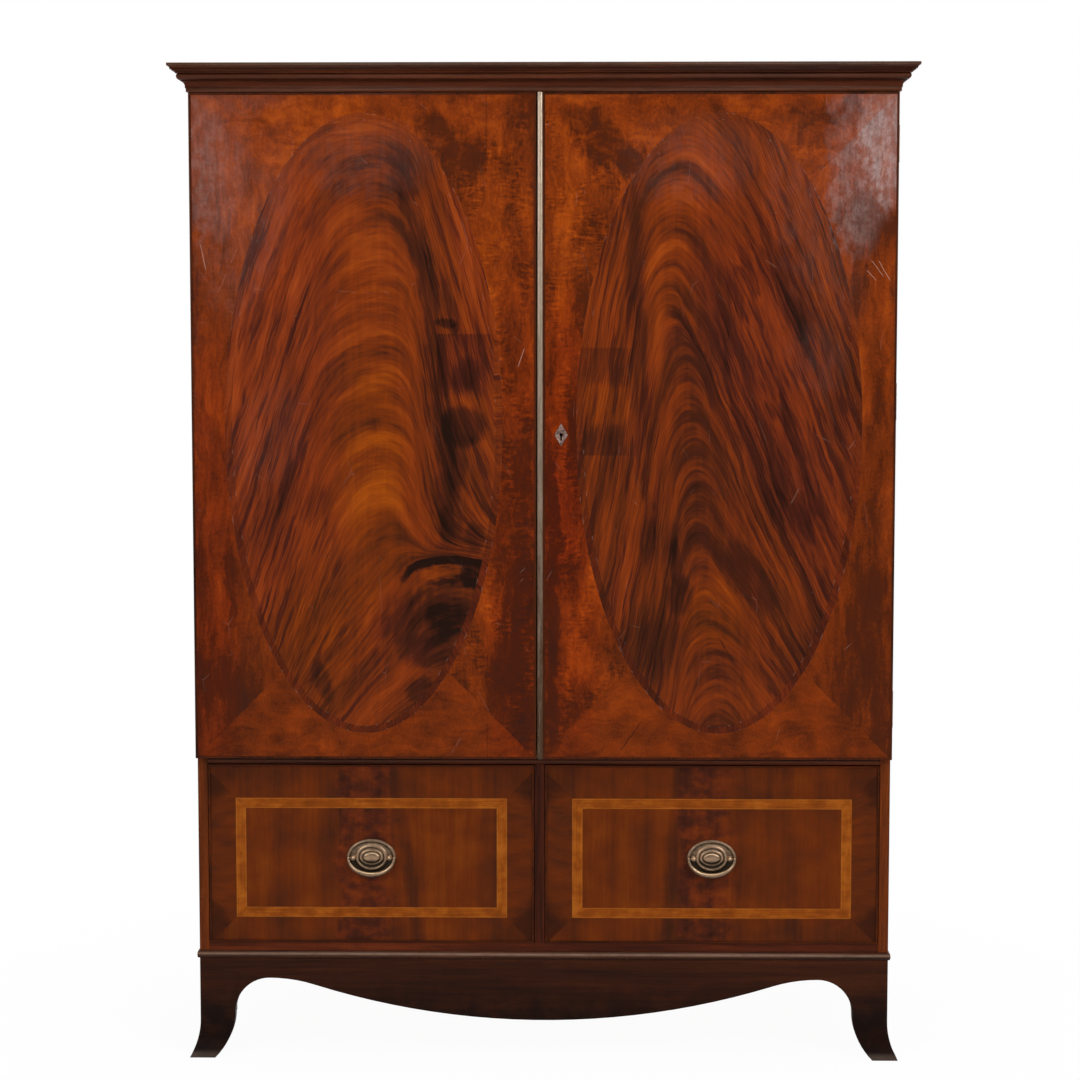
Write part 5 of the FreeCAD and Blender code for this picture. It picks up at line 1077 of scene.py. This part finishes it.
class PressStage(bpy.types.PropertyGroup):
    """Camera, floor and lamps."""

    lens: bpy.props.FloatProperty(
        name="Lens", description="Focal length on a 36 mm wide film", default=82.3, min=20.0,
        subtype="DISTANCE_CAMERA", unit="CAMERA")
    floor_size: length_setting("Floor size", "Side of the square floor", 30000.0)
    floor_colour: colour_setting("Floor", "Pale floor", "F4F4F4")
    fill: share_setting("Fill light", "Even light from all round", 0.42)
    key_power: bpy.props.FloatProperty(
        name="Softbox power", description="Power of each large front softbox", default=50.0,
        min=0.0, unit="POWER")


# ---------------------------------------------------------------- mesh helpers

def new_object(name, points, faces):
    """Makes a mesh object from points in millimetres."""
    mesh = bpy.data.meshes.new(name)
    mesh.from_pydata([tuple(c * MM for c in p) for p in points], [], faces)
    made = bpy.data.objects.new(name, mesh)
    bpy.context.scene.collection.objects.link(made)
    return made


def new_piece(name, points, faces, body, material):
    """Makes a smooth mesh piece that rides on a body."""
    piece = new_object(name, points, faces)
    piece.data.validate()
    for polygon in piece.data.polygons:
        polygon.use_smooth = True
    piece.data.materials.append(material)
    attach(piece, body)
    return piece


def around(count, shift=0.0):
    """Evenly spaced angles of one full turn."""
    return [2 * math.pi * (k + shift) / count for k in range(count)]


def shell(points, faces, rings, closed=True):
    """Adds quads between neighbouring rings of points to a mesh, and flat ends if closed."""
    first = len(points)
    count = len(rings[0])
    for ring in rings:
        points.extend(ring)
    for row in range(len(rings) - 1):
        for k in range(count):
            a = first + row * count + k
            b = first + row * count + (k + 1) % count
            faces.append((a, b, b + count, a + count))
    if closed:
        last = first + (len(rings) - 1) * count
        faces.append(tuple(first + k for k in reversed(range(count))))
        faces.append(tuple(last + k for k in range(count)))


def turned(points, faces, centre, stations, count=32):
    """Turned piece about a line along Y: stations of (y, radius)."""
    x, z = centre
    shell(points, faces, [[(x + radius * math.sin(t), y, z + radius * math.cos(t))
                           for t in around(count)] for y, radius in stations])


def soften(obj, radius, segments=2, angle=32.0):
    """Rounds a CAD node's sharp edges inside its own box, by modifiers only."""
    weld = obj.modifiers.new("weld", "WELD")
    weld.merge_threshold = 0.00002
    bevel = obj.modifiers.new("edge wear", "BEVEL")
    bevel.width = radius
    bevel.segments = segments
    bevel.limit_method = "ANGLE"
    bevel.angle_limit = math.radians(angle)
    bevel.use_clamp_overlap = True
    flat = obj.modifiers.new("shading", "WEIGHTED_NORMAL")
    flat.keep_sharp = False
    for polygon in obj.data.polygons:
        polygon.use_smooth = True


def dress(nodes, material, radius=0.0, segments=2):
    """Gives the CAD nodes named their material, and worn edges if a radius is given."""
    for node in nodes.split():
        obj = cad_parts[node]
        obj.data.materials.clear()
        obj.data.materials.append(material)
        if radius:
            soften(obj, radius, segments)


# ---------------------------------------------------------------- steps

# The camera's place in metres, and how far it turns to its left and dips, in degrees.
EYE, EYE_TURN, EYE_DIP = (0.0645, -4.5475, 1.286), 0.93, 4.757


class PRESS_OT_set_stage(bpy.types.Operator):
    """Set up the camera, the pale floor, the softboxes and the even light"""

    bl_idname = "press.set_stage"
    bl_label = "Set the stage"

    def execute(self, context):
        scene, stage = context.scene, context.scene.press_stage
        scene.view_settings.view_transform = "Standard"
        self.camera(scene, stage)
        self.floor(stage)
        self.lamps(stage)
        self.world(scene, stage)
        return {"FINISHED"}

    @staticmethod
    def camera(scene, stage):
        lens = bpy.data.cameras.new("camera")
        lens.lens = stage.lens
        lens.sensor_width = 36.0
        lens.clip_end = 100.0
        camera = bpy.data.objects.new("camera", lens)
        scene.collection.objects.link(camera)
        turn, dip = math.radians(EYE_TURN), math.radians(EYE_DIP)
        looks = Vector((-math.sin(turn) * math.cos(dip), math.cos(turn) * math.cos(dip),
                        -math.sin(dip)))
        camera.location = EYE
        camera.rotation_euler = looks.to_track_quat("-Z", "Y").to_euler()
        scene.camera = camera

    @staticmethod
    def floor(stage):
        half, cells = stage.floor_size / 2 / MM, 12
        steps = [-half + 2 * half * k / cells for k in range(cells + 1)]
        points = [(x, y, 0.0) for y in steps for x in steps]
        faces = [(r * (cells + 1) + c, r * (cells + 1) + c + 1, (r + 1) * (cells + 1) + c + 1,
                  (r + 1) * (cells + 1) + c) for r in range(cells) for c in range(cells)]
        floor = new_object("floor", points, faces)
        paint = Paint("pale floor")
        grain = paint.noise((paint.x / 40, paint.y / 40), 3.0)
        shade = paint.mix(grain * 0.04, tuple(stage.floor_colour), tint("E8E8E8"))
        floor.data.materials.append(paint.finish(shade, 0.8, shine=0.1))
        away = ((paint.x / 1500) * (paint.x / 1500) + (paint.y / 1500) * (paint.y / 1500)).root()
        ray = paint.node("ShaderNodeLightPath", {}, (), "Is Camera Ray")
        behind = 0.05 + 0.95 * paint.y.rise(-300.0, 400.0)
        seen = (ray + ray.twin("Is Glossy Ray") * behind
                + ray.twin("Is Transmission Ray")).least(1.0)
        glow = paint.node("ShaderNodeEmission", {}, {"Color": (1.0, 1.0, 1.0), "Strength": 1.0})
        share = seen * (0.955 + 0.045 * away.rise(0.35, 1.0))
        both = paint.node("ShaderNodeMixShader", {}, {
            0: share, 1: Wire(paint, paint.shader.outputs[0]), 2: glow})
        paint.feed(paint.tree.nodes["Material Output"].inputs["Surface"], both)

    @staticmethod
    def lamps(stage):
        boxes = (
            ("softbox_left", (-2.3, -3.3, 2.2), (-0.3, -0.2, 0.95), (1.7, 1.7), 1.0),
            ("softbox_right", (2.5, -3.0, 2.5), (0.3, -0.2, 1.0), (1.5, 1.5), 1.0),
            ("softbox_top_right", (1.35, -2.1, 2.55), (0.45, -0.2, 1.55), (0.8, 0.8), 0.16),
            ("softbox_top", (0.0, -1.2, 3.6), (0.0, 0.0, 1.2), (2.4, 1.6), 0.55),
            ("softbox_back", (0.8, 3.6, 2.6), (0.0, 0.2, 0.9), (2.2, 1.8), 0.75),
        )
        for name, place, aim, size, share in boxes:
            light = bpy.data.lights.new(name, "AREA")
            light.shape = "RECTANGLE"
            light.size, light.size_y = size
            light.energy = stage.key_power * share
            lamp = bpy.data.objects.new(name, light)
            bpy.context.scene.collection.objects.link(lamp)
            lamp.location = place
            towards = Vector(aim) - Vector(place)
            lamp.rotation_euler = towards.to_track_quat("-Z", "Y").to_euler()

    @staticmethod
    def world(scene, stage):
        world = bpy.data.worlds.new("studio")
        scene.world = world
        world.use_nodes = True
        world.node_tree.nodes.clear()
        sky = Recipe(world.node_tree)

        def light(strength):
            return sky.node("ShaderNodeBackground", {}, {
                "Color": (1.0, 1.0, 1.0), "Strength": strength})

        even, white, dim = light(stage.fill), light(1.0), light(stage.fill * 0.15)
        place = sky.node("ShaderNodeTexCoord", {}, (), "Generated")
        behind = sky.node("ShaderNodeSeparateXYZ", {}, (place,), "Y").rise(-0.1, 0.3)
        ray = sky.node("ShaderNodeLightPath", {}, (), "Is Camera Ray")
        gloss = sky.node("ShaderNodeMixShader", {}, {0: behind, 1: dim, 2: white})
        lit = sky.node("ShaderNodeMixShader", {}, {0: ray.twin("Is Glossy Ray"), 1: even, 2: gloss})
        seen = ray + ray.twin("Is Transmission Ray")
        both = sky.node("ShaderNodeMixShader", {}, {0: seen, 1: lit, 2: white})
        sky.node("ShaderNodeOutputWorld", {}, {"Surface": both})


class PRESS_OT_veneer_doors(bpy.types.Operator):
    """Lay the flame ovals, their rings and the mitred borders on both doors"""

    bl_idname = "press.veneer_doors"
    bl_label = "Veneer the doors"

    def execute(self, context):
        woods = context.scene.press_woods
        shades = (woods.case_dark, woods.case_mid, woods.case_light)
        core = case_wood("door core", "z", woods, shades, 4.0)
        bead = case_wood("door edge bead", "z", woods,
                         (woods.figure_black, woods.figure_dark, woods.case_mid), 6.0)
        for side in SIDES:
            dress(f"{side}_door_oval", flame_oval(side, woods))
            dress(f"{side}_door_spandrels", door_border(side, woods))
            dress(f"{side}_door_core", core, woods.edge_round)
            dress(f"{side}_door_edge_beads", bead, woods.edge_round * 0.5)
        return {"FINISHED"}


class PRESS_OT_polish_case(bpy.types.Operator):
    """Finish the case sides, rails, cornice, bead and aprons"""

    bl_idname = "press.polish_case"
    bl_label = "Polish the case"

    def execute(self, context):
        woods = context.scene.press_woods
        shades = (woods.case_dark, woods.case_mid, woods.case_light)
        upright = case_wood("case upright", "z", woods, shades, 1.0)
        base = case_wood("base upright", "z", woods, shades, 1.3, lip=(
            woods.drawer_dark, tint("582508"), tint("7A370E")))
        # Black is the colour of painted shadow lines. The front rail's top gets a painted shadow band where
        # the doors overhang it, and a grey painted highlight line just below.
        black = tint("0C0503")
        level = case_wood("case level", "x", woods, shades, 2.0, stain_and_shade_bands=(
            (535.0, 560.0, 1.2, 0.95, black), (531.0, 534.5, 1.0, 0.35, tint("6A4C3C"))))
        dark = (tint("220F07"), tint("38190A"), tint("48210D"))
        # Aprons: a band that darkens towards the floor, which is painted shade, then a worn pale line along
        # the toes.
        foot = ((-90.0, 120.0, 60.0, 0.92, tint("0E0604")), (-20.0, 9.0, 5.0, 0.8, tint("4C3F36")))
        # The cornice's bands are painted light and shade on its mouldings: a grey painted sheen on the top
        # member, painted shadow lines under it and under the bead, painted highlights on the bead and the
        # lower fillet, and a darker reddish band on the cove.
        cornice = case_wood("cornice", "x", woods,
                            (woods.case_dark, tint("421E0E"), tint("5E2C15")), 3.0, stain_and_shade_bands=(
                                (1743.5, 1752.0, 1.0, 0.30, tint("6E5A4C")),
                                (1739.6, 1742.2, 0.8, 0.60, black),
                                (1725.0, 1730.5, 1.4, 0.12, tint("7E5646")),
                                (1720.6, 1723.0, 0.8, 0.60, black),
                                (1712.0, 1719.5, 2.0, 0.45, tint("50200C")),
                                (1705.4, 1709.6, 0.9, 0.20, tint("6A5040"))))
        apron = case_wood("apron", "x", woods, dark, 5.0, 0.5, 0.06, foot)
        deep = case_wood("side apron", "y", woods, dark, 7.0, 0.5, 0.06, foot)
        # The base bead's upper band is a painted highlight along its nose, and the dark band under it is
        # painted shade.
        bead = case_wood("base bead", "x", woods,
                         (tint("2A170F"), tint("482A1C"), tint("623E2E")), 8.0, polish=-0.04,
                         stain_and_shade_bands=((184.0, 188.0, 1.2, 0.55, tint("8E7462")),
                                 (170.0, 181.0, 1.5, 0.7, tint("1E110B"))))
        dress("upper_left_side upper_right_side", upright, woods.edge_round)
        dress("lower_left_side lower_right_side", base, woods.edge_round)
        dress("front_rails", level, woods.edge_round * 0.4)
        dress("drawer_partition", upright, woods.edge_round * 0.4)
        dress("cornice_moulding", cornice, woods.edge_round * 0.5)
        dress("base_bead", bead, woods.edge_round * 0.5)
        dress("front_apron", apron, woods.edge_round)
        dress("left_apron right_apron", deep, woods.edge_round)
        return {"FINISHED"}


class PRESS_OT_veneer_drawers(bpy.types.Operator):
    """Lay the drawer fronts with their banding and cock beads"""

    bl_idname = "press.veneer_drawers"
    bl_label = "Veneer the drawers"

    def execute(self, context):
        woods = context.scene.press_woods
        light = banding(woods)
        bead = case_wood("cock bead", "x", woods,
                         (woods.drawer_black, woods.drawer_dark, woods.drawer_mid), 9.0)
        for side in SIDES:
            dress(f"{side}_drawer_veneer", drawer_veneer(side, woods))
            dress(f"{side}_drawer_inlay", light)
            dress(f"{side}_drawer_cock_beads", bead, woods.edge_round * 0.6, 3)
        return {"FINISHED"}


class PRESS_OT_line_inside(bpy.types.Operator):
    """Finish the oak trays, drawers and runners and the pine boards"""

    bl_idname = "press.line_inside"
    bl_label = "Line the inside"

    def execute(self, context):
        woods = context.scene.press_woods
        pine = (woods.pine_dark, woods.pine_mid, woods.pine_light)
        oak = (woods.oak_dark, woods.oak_mid, woods.oak_light)
        left, right, *_ = sides_of("upper_back_boards")
        back = raw_wood("pine back boards", "z", pine, 1.0, 0.7, boards=(right - left) / 6)
        board = raw_wood("pine boards", "x", pine, 2.0, 0.66)
        block = raw_wood("pine blocks", "z", pine, 3.0, 0.7)
        tray = raw_wood("oak trays", "y", oak, 4.0, 0.5, ((-181.0, 1), (249.0, -1)))
        box = raw_wood("oak drawers", "y", oak, 5.0, 0.55, ((-204.5, 1), (245.5, -1)))
        runner = raw_wood("oak runners", "y", oak, 6.0, 0.5)
        dress("upper_back_boards lower_back_boards", back, woods.edge_round)
        dress("upper_top_board upper_bottom_board lower_top_board lower_bottom_board "
              "cornice_frame cornice_top_board", board, woods.edge_round * 0.6)
        dress("rear_brackets corner_blocks", block, woods.edge_round)
        dress("tray_1 tray_2 tray_3 tray_4 tray_5", tray, woods.edge_round)
        dress("tray_runners drawer_stops", runner, woods.edge_round)
        dress("left_drawer_box right_drawer_box", box, woods.edge_round * 0.8)
        return {"FINISHED"}


class PRESS_OT_age_metal(bpy.types.Operator):
    """Age the hinges, bolts, lock and closing strip"""

    bl_idname = "press.age_metal"
    bl_label = "Age the metal"

    def execute(self, context):
        metals = context.scene.press_metals
        # Aged brass, with painted shade on its undersides and a painted highlight on its tops.
        aged = brass("aged brass", metals)
        dress("case_hinge_leaves left_door_hinge_leaves right_door_hinge_leaves "
              "strike_plate bolt_guides top_bolt bottom_bolt", aged)
        black = iron("blackened iron", metals)
        dress("lock_case", black, 0.0006)
        dress("lock_bolt", black, 0.0005)
        dress("closing_strip", self.strip(metals), 0.0008, 3)
        return {"FINISHED"}

    @staticmethod
    def strip(metals):
        """Pale at the head, dull and olive towards the foot."""
        paint = Paint("closing strip")
        cloud = paint.noise((paint.x / 5, paint.y / 5, paint.z / 60), 4.0, 0.6)
        speck = paint.noise((paint.x / 1.5, paint.y / 1.5, paint.z / 9), 3.0)
        low = paint.z.fall(1000.0, 1640.0) * 0.6 + paint.z.fall(560.0, 1100.0) * 0.5
        dull = (low * 0.95 + (cloud - 0.5) * 0.9 + (speck - 0.5) * 0.5).share()
        colour = paint.mix(dull, metals.strip_bright, metals.strip_dull)
        normal = paint.bump(cloud + speck * 0.4, 0.06, 0.6)
        return paint.finish(colour, 0.34 + dull * 0.2, normal, 0.2, 0.75 - dull * 0.68)


# Half width, half height and rise of each station of the stamped plate, from its foot to its boss.
PLATE_STATIONS = (
    (43.4, 32.4, 0.05), (44.0, 33.0, 0.8), (43.7, 32.7, 1.7), (42.6, 31.6, 2.5), (40.9, 30.0, 2.9),
    (39.2, 28.5, 2.5), (38.0, 27.5, 1.5), (37.2, 26.9, 1.0), (30.2, 25.2, 1.0), (29.2, 24.5, 1.5),
    (28.2, 23.5, 2.7), (26.8, 22.0, 3.5), (25.2, 20.4, 3.7), (23.8, 18.9, 3.2), (22.9, 17.8, 2.1),
    (22.3, 17.0, 1.5), (21.7, 15.6, 1.5), (21.0, 14.7, 2.2), (19.9, 13.5, 3.1), (18.4, 12.1, 3.3),
    (17.1, 10.9, 2.7), (16.3, 10.0, 1.9), (15.4, 9.2, 1.9), (14.7, 8.6, 2.8), (13.6, 7.7, 3.9),
    (12.0, 6.6, 4.4), (8.0, 4.2, 4.6), (3.0, 1.5, 4.7), (0.4, 0.2, 4.7),
)
# Where the plates sit on the drawer fronts, along Y.
DRAWER_FACE = -226.0


def handle_middle(side):
    """Middle x and z of a drawer's handle plate, in millimetres."""
    return oval_of(f"{side}_drawer_handle_plate")[:2]


class PRESS_OT_stamp_handle_plates(bpy.types.Operator):
    """Stamp the oval handle plates with their posts and nuts"""

    bl_idname = "press.stamp_handle_plates"
    bl_label = "Stamp the handle plates"

    def execute(self, context):
        fittings = context.scene.press_fittings
        _, middle = handle_middle("left")
        # Plate brass: strong painted shade on its undersides and lower half, and a painted highlight on its
        # top faces.
        metal = brass("plate brass", context.scene.press_metals, 0.5, (-229.6, 2.0, middle), 0.85)
        for side in SIDES:
            node = f"{side}_drawer_handle_plate"
            x, z = handle_middle(side)
            points, faces = [], []
            self.plate(points, faces, x, z, fittings)
            for way in (-1, 1):
                self.post(points, faces, x + way * fittings.post_spacing / MM / 2, z)
            piece = new_piece(f"{side}_handle_plate", points, faces, f"{side}_drawer",
                              metal)
            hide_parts(node)
        return {"FINISHED"}

    @staticmethod
    def plate(points, faces, x, z, fittings):
        wide = fittings.plate_half_width / MM / PLATE_STATIONS[1][0]
        high = fittings.plate_half_height / MM / PLATE_STATIONS[1][1]
        shell(points, faces, [[(x + a * wide * math.sin(t), DRAWER_FACE - rise,
                                z + b * high * math.cos(t)) for t in around(96)]
                              for a, b, rise in PLATE_STATIONS])

    @staticmethod
    def post(points, faces, x, z):
        head = 4.6
        middle = DRAWER_FACE - 8.5
        stations = [(-227.0, 5.2), (-227.9, 5.2), (-228.4, 4.4), (-229.0, 3.3), (-229.9, 3.1),
                    (-230.6, 3.6)]
        for k in range(1, 15):
            angle = math.radians(35 + 145 * k / 15)
            stations.append((middle + head * math.cos(angle), head * math.sin(angle)))
        stations.append((middle - head + 0.01, 0.3))
        turned(points, faces, (x, z), stations)
        turned(points, faces, (x, z), [(-204.6, 2.0), (-198.2, 2.0), (-197.6, 1.4)], 20)
        nut = 5.0
        rings = []
        for y, size in ((-204.5, nut), (-201.2, nut), (-200.6, nut - 0.6)):
            ring = []
            for angle in around(24, 0.5):
                reach = size / max(abs(math.cos(angle)), abs(math.sin(angle)))
                reach = min(reach, size * 1.3)
                ring.append((x + reach * math.sin(angle), y, z + reach * math.cos(angle)))
            rings.append(ring)
        shell(points, faces, rings)


class PRESS_OT_bend_bails(bpy.types.Operator):
    """Bend the swelling bail handles with their collars and pins"""

    bl_idname = "press.bend_bails"
    bl_label = "Bend the bails"

    def execute(self, context):
        fittings = context.scene.press_fittings
        # Bail brass: painted shade on its undersides and a painted highlight on its tops.
        metal = brass("bail brass", context.scene.press_metals, 0.25, shade=0.75)
        for side in SIDES:
            x, z = handle_middle(side)
            _, _, front, back, _, _ = sides_of(f"{side}_drawer_handle_bail")
            y = (front + back) / 2
            points, faces = [], []
            self.bar(points, faces, x, y, z, fittings)
            piece = new_piece(f"{side}_handle_bail", points, faces, f"{side}_bail", metal)
            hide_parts(f"{side}_drawer_handle_bail")
        return {"FINISHED"}

    @staticmethod
    def bar(points, faces, x, y, z, fittings):
        wide, drop = fittings.bail_half_width / MM, fittings.bail_drop / MM
        thin, thick = fittings.bail_thin / MM, fittings.bail_thick / MM
        pin, knob, count = 1.4, 2.35, 20
        spine = []
        start = fittings.post_spacing / MM / 2 - 3.4
        for reach in (start, wide - 3.2, wide - 3.0):
            spine.append(((-reach, 0.0), pin, (1.0, 0.0)))
        steps = 72
        for k in range(steps + 1):
            angle = math.pi * k / steps
            radius = thin + (thick - thin) * math.sin(angle) ** 1.4
            collar = math.exp(-((angle - 0.20) / 0.035) ** 2) + math.exp(
                -((math.pi - angle - 0.20) / 0.035) ** 2)
            radius += 0.55 * collar
            place = (-wide * math.cos(angle), -drop * math.sin(angle))
            slope = (wide * math.sin(angle), -drop * math.cos(angle))
            spine.append((place, radius, slope))
        for reach in (wide - 3.0, wide - 3.2, start):
            spine.append(((reach, 0.0), pin, (1.0, 0.0)))
        # The pins meet the bar's two ends at a right angle, so each run is its own tube.
        runs = (spine[:3], spine[3:-3], spine[-3:])
        for number, run in enumerate(runs):
            rings = []
            for (across, up), radius, slope in run:
                length = math.hypot(*slope)
                side = (-slope[1] / length, slope[0] / length)
                rings.append([
                    (x + across + side[0] * radius * math.cos(t), y + radius * math.sin(t),
                     z + up + side[1] * radius * math.cos(t))
                    for t in around(count)])
            shell(points, faces, rings)
        for way in (-1, 1):
            arc = [math.pi * k / 12 for k in range(1, 12)]
            shell(points, faces, [[
                (x + way * wide - knob * math.cos(a), y + knob * math.sin(a) * math.sin(t),
                 z + knob * math.sin(a) * math.cos(t)) for t in around(count)] for a in arc])


class PRESS_OT_pierce_escutcheon(bpy.types.Operator):
    """Cut the straight-sided lozenge round the keyhole"""

    bl_idname = "press.pierce_escutcheon"
    bl_label = "Pierce the escutcheon"

    def execute(self, context):
        metal = self.dull_brass(context.scene.press_metals)
        x, z, wide, tall = oval_of("escutcheon")
        _, _, front, back, _, _ = sides_of("escutcheon")
        angles = around(128, 0.5)

        def lozenge(angle):
            return 1 / (abs(math.cos(angle)) / wide + abs(math.sin(angle)) / tall)

        def keyhole(angle):
            c, s = math.cos(angle), math.sin(angle)
            reach = 3.0
            if s < 0:
                reach = max(reach, min(1.3 / max(abs(c), 1e-6), 10.0 / -s))
            return reach

        deep = front + 0.55
        stations = ((0.0, back), (0.0, front + 0.5), (0.02, front + 0.15), (0.07, front),
                    (0.15, front + 0.05), (0.22, deep), (0.8, deep), (0.9, front + 0.1),
                    (0.96, front + 0.05), (1.0, front + 0.3), (1.0, back))
        rings = []
        for share, y in stations:
            ring = []
            for angle in angles:
                reach = lozenge(angle) * (1 - share) + keyhole(angle) * share
                ring.append((x + reach * math.cos(angle), y, z + reach * math.sin(angle)))
            rings.append(ring)
        points, faces = [], []
        shell(points, faces, rings + [rings[0]], False)
        pin_level = 14.2
        for up in (-1, 1):
            turned(points, faces, (x, z + up * pin_level),
                   [(front + 0.6, 1.1), (front + 0.25, 1.1), (front + 0.08, 0.8),
                    (front + 0.02, 0.2)], 16)
        piece = new_piece("keyhole_plate", points, faces, "right_door", metal)
        weld = piece.modifiers.new("weld", "WELD")
        weld.merge_threshold = 0.00001
        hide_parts("escutcheon")
        return {"FINISHED"}

    @staticmethod
    def dull_brass(metals):
        """Greyish brass that no hand rubs."""
        paint = Paint("escutcheon brass")
        cloud = paint.noise((paint.x / 5, paint.y / 5, paint.z / 5), 3.0, 0.6)
        colour = paint.mix(cloud.rise(0.35, 0.65), metals.keyhole_light, metals.keyhole_dark)
        normal = paint.bump(cloud, 0.05, 0.5)
        return paint.finish(colour, 0.5 + cloud * 0.1, normal, metal=0.55 - cloud * 0.2)


class PRESS_OT_drive_nails(bpy.types.Operator):
    """Nail the back boards"""

    bl_idname = "press.drive_nails"
    bl_label = "Drive the nails"

    def execute(self, context):
        metals = context.scene.press_metals
        radius = context.scene.press_fittings.nail_head / MM
        black = iron("nail iron", metals)
        points, faces = [], []
        back, first, pitch, in_row = 280.0, -585.0, 90.0, 14
        for row, z in enumerate((549.0, 900.0, 1300.0, 1694.0)):
            for k in range(in_row):
                x = first + pitch * k + (7.0 if (k + row) % 2 else -4.0)
                self.nail(points, faces, x, back, z + (3.0 if k % 3 else -2.0), radius)
        for z in (199.0, 534.0):
            for k in range(in_row):
                x = first + pitch * k + (5.0 if k % 2 else -6.0)
                self.nail(points, faces, x, back, z, radius)
        new_piece("back_nails", points, faces, "carcass", black)
        return {"FINISHED"}

    @staticmethod
    def nail(points, faces, x, back, z, radius):
        turned(points, faces, (x, z), [(back - 1.2, radius), (back - 0.35, radius),
                                       (back - 0.1, radius * 0.8), (back - 0.02, radius * 0.2)],
               12)


STEPS = (
    PRESS_OT_set_stage, PRESS_OT_veneer_doors, PRESS_OT_polish_case, PRESS_OT_veneer_drawers,
    PRESS_OT_line_inside, PRESS_OT_age_metal, PRESS_OT_stamp_handle_plates, PRESS_OT_bend_bails,
    PRESS_OT_pierce_escutcheon, PRESS_OT_drive_nails,
)
SETTINGS = (
    ("press_woods", PressWoods), ("press_metals", PressMetals), ("press_fittings", PressFittings),
    ("press_stage", PressStage),
)


class PRESS_PT_looks(bpy.types.Panel):
    """Steps and settings of the linen press"""

    bl_idname = "PRESS_PT_looks"
    bl_label = "Linen Press"
    bl_space_type = "VIEW_3D"
    bl_region_type = "UI"
    bl_category = "Linen Press"

    def draw(self, context):
        for step in STEPS:
            self.layout.operator(step.bl_idname)
        for name, group in SETTINGS:
            box = self.layout.box()
            for setting in group.__annotations__:
                box.prop(getattr(context.scene, name), setting)


CLASSES = (*(group for _, group in SETTINGS), *STEPS, PRESS_PT_looks)


def register():
    for cls in CLASSES:
        bpy.utils.register_class(cls)
    for name, group in SETTINGS:
        setattr(bpy.types.Scene, name, bpy.props.PointerProperty(type=group))


def unregister():
    for name, _ in SETTINGS:
        delattr(bpy.types.Scene, name)
    for cls in reversed(CLASSES):
        bpy.utils.unregister_class(cls)


def main():
    register()
    for step in STEPS:
        family, name = step.bl_idname.split(".")
        getattr(getattr(bpy.ops, family), name)()


if __name__ == "__main__":
    main()
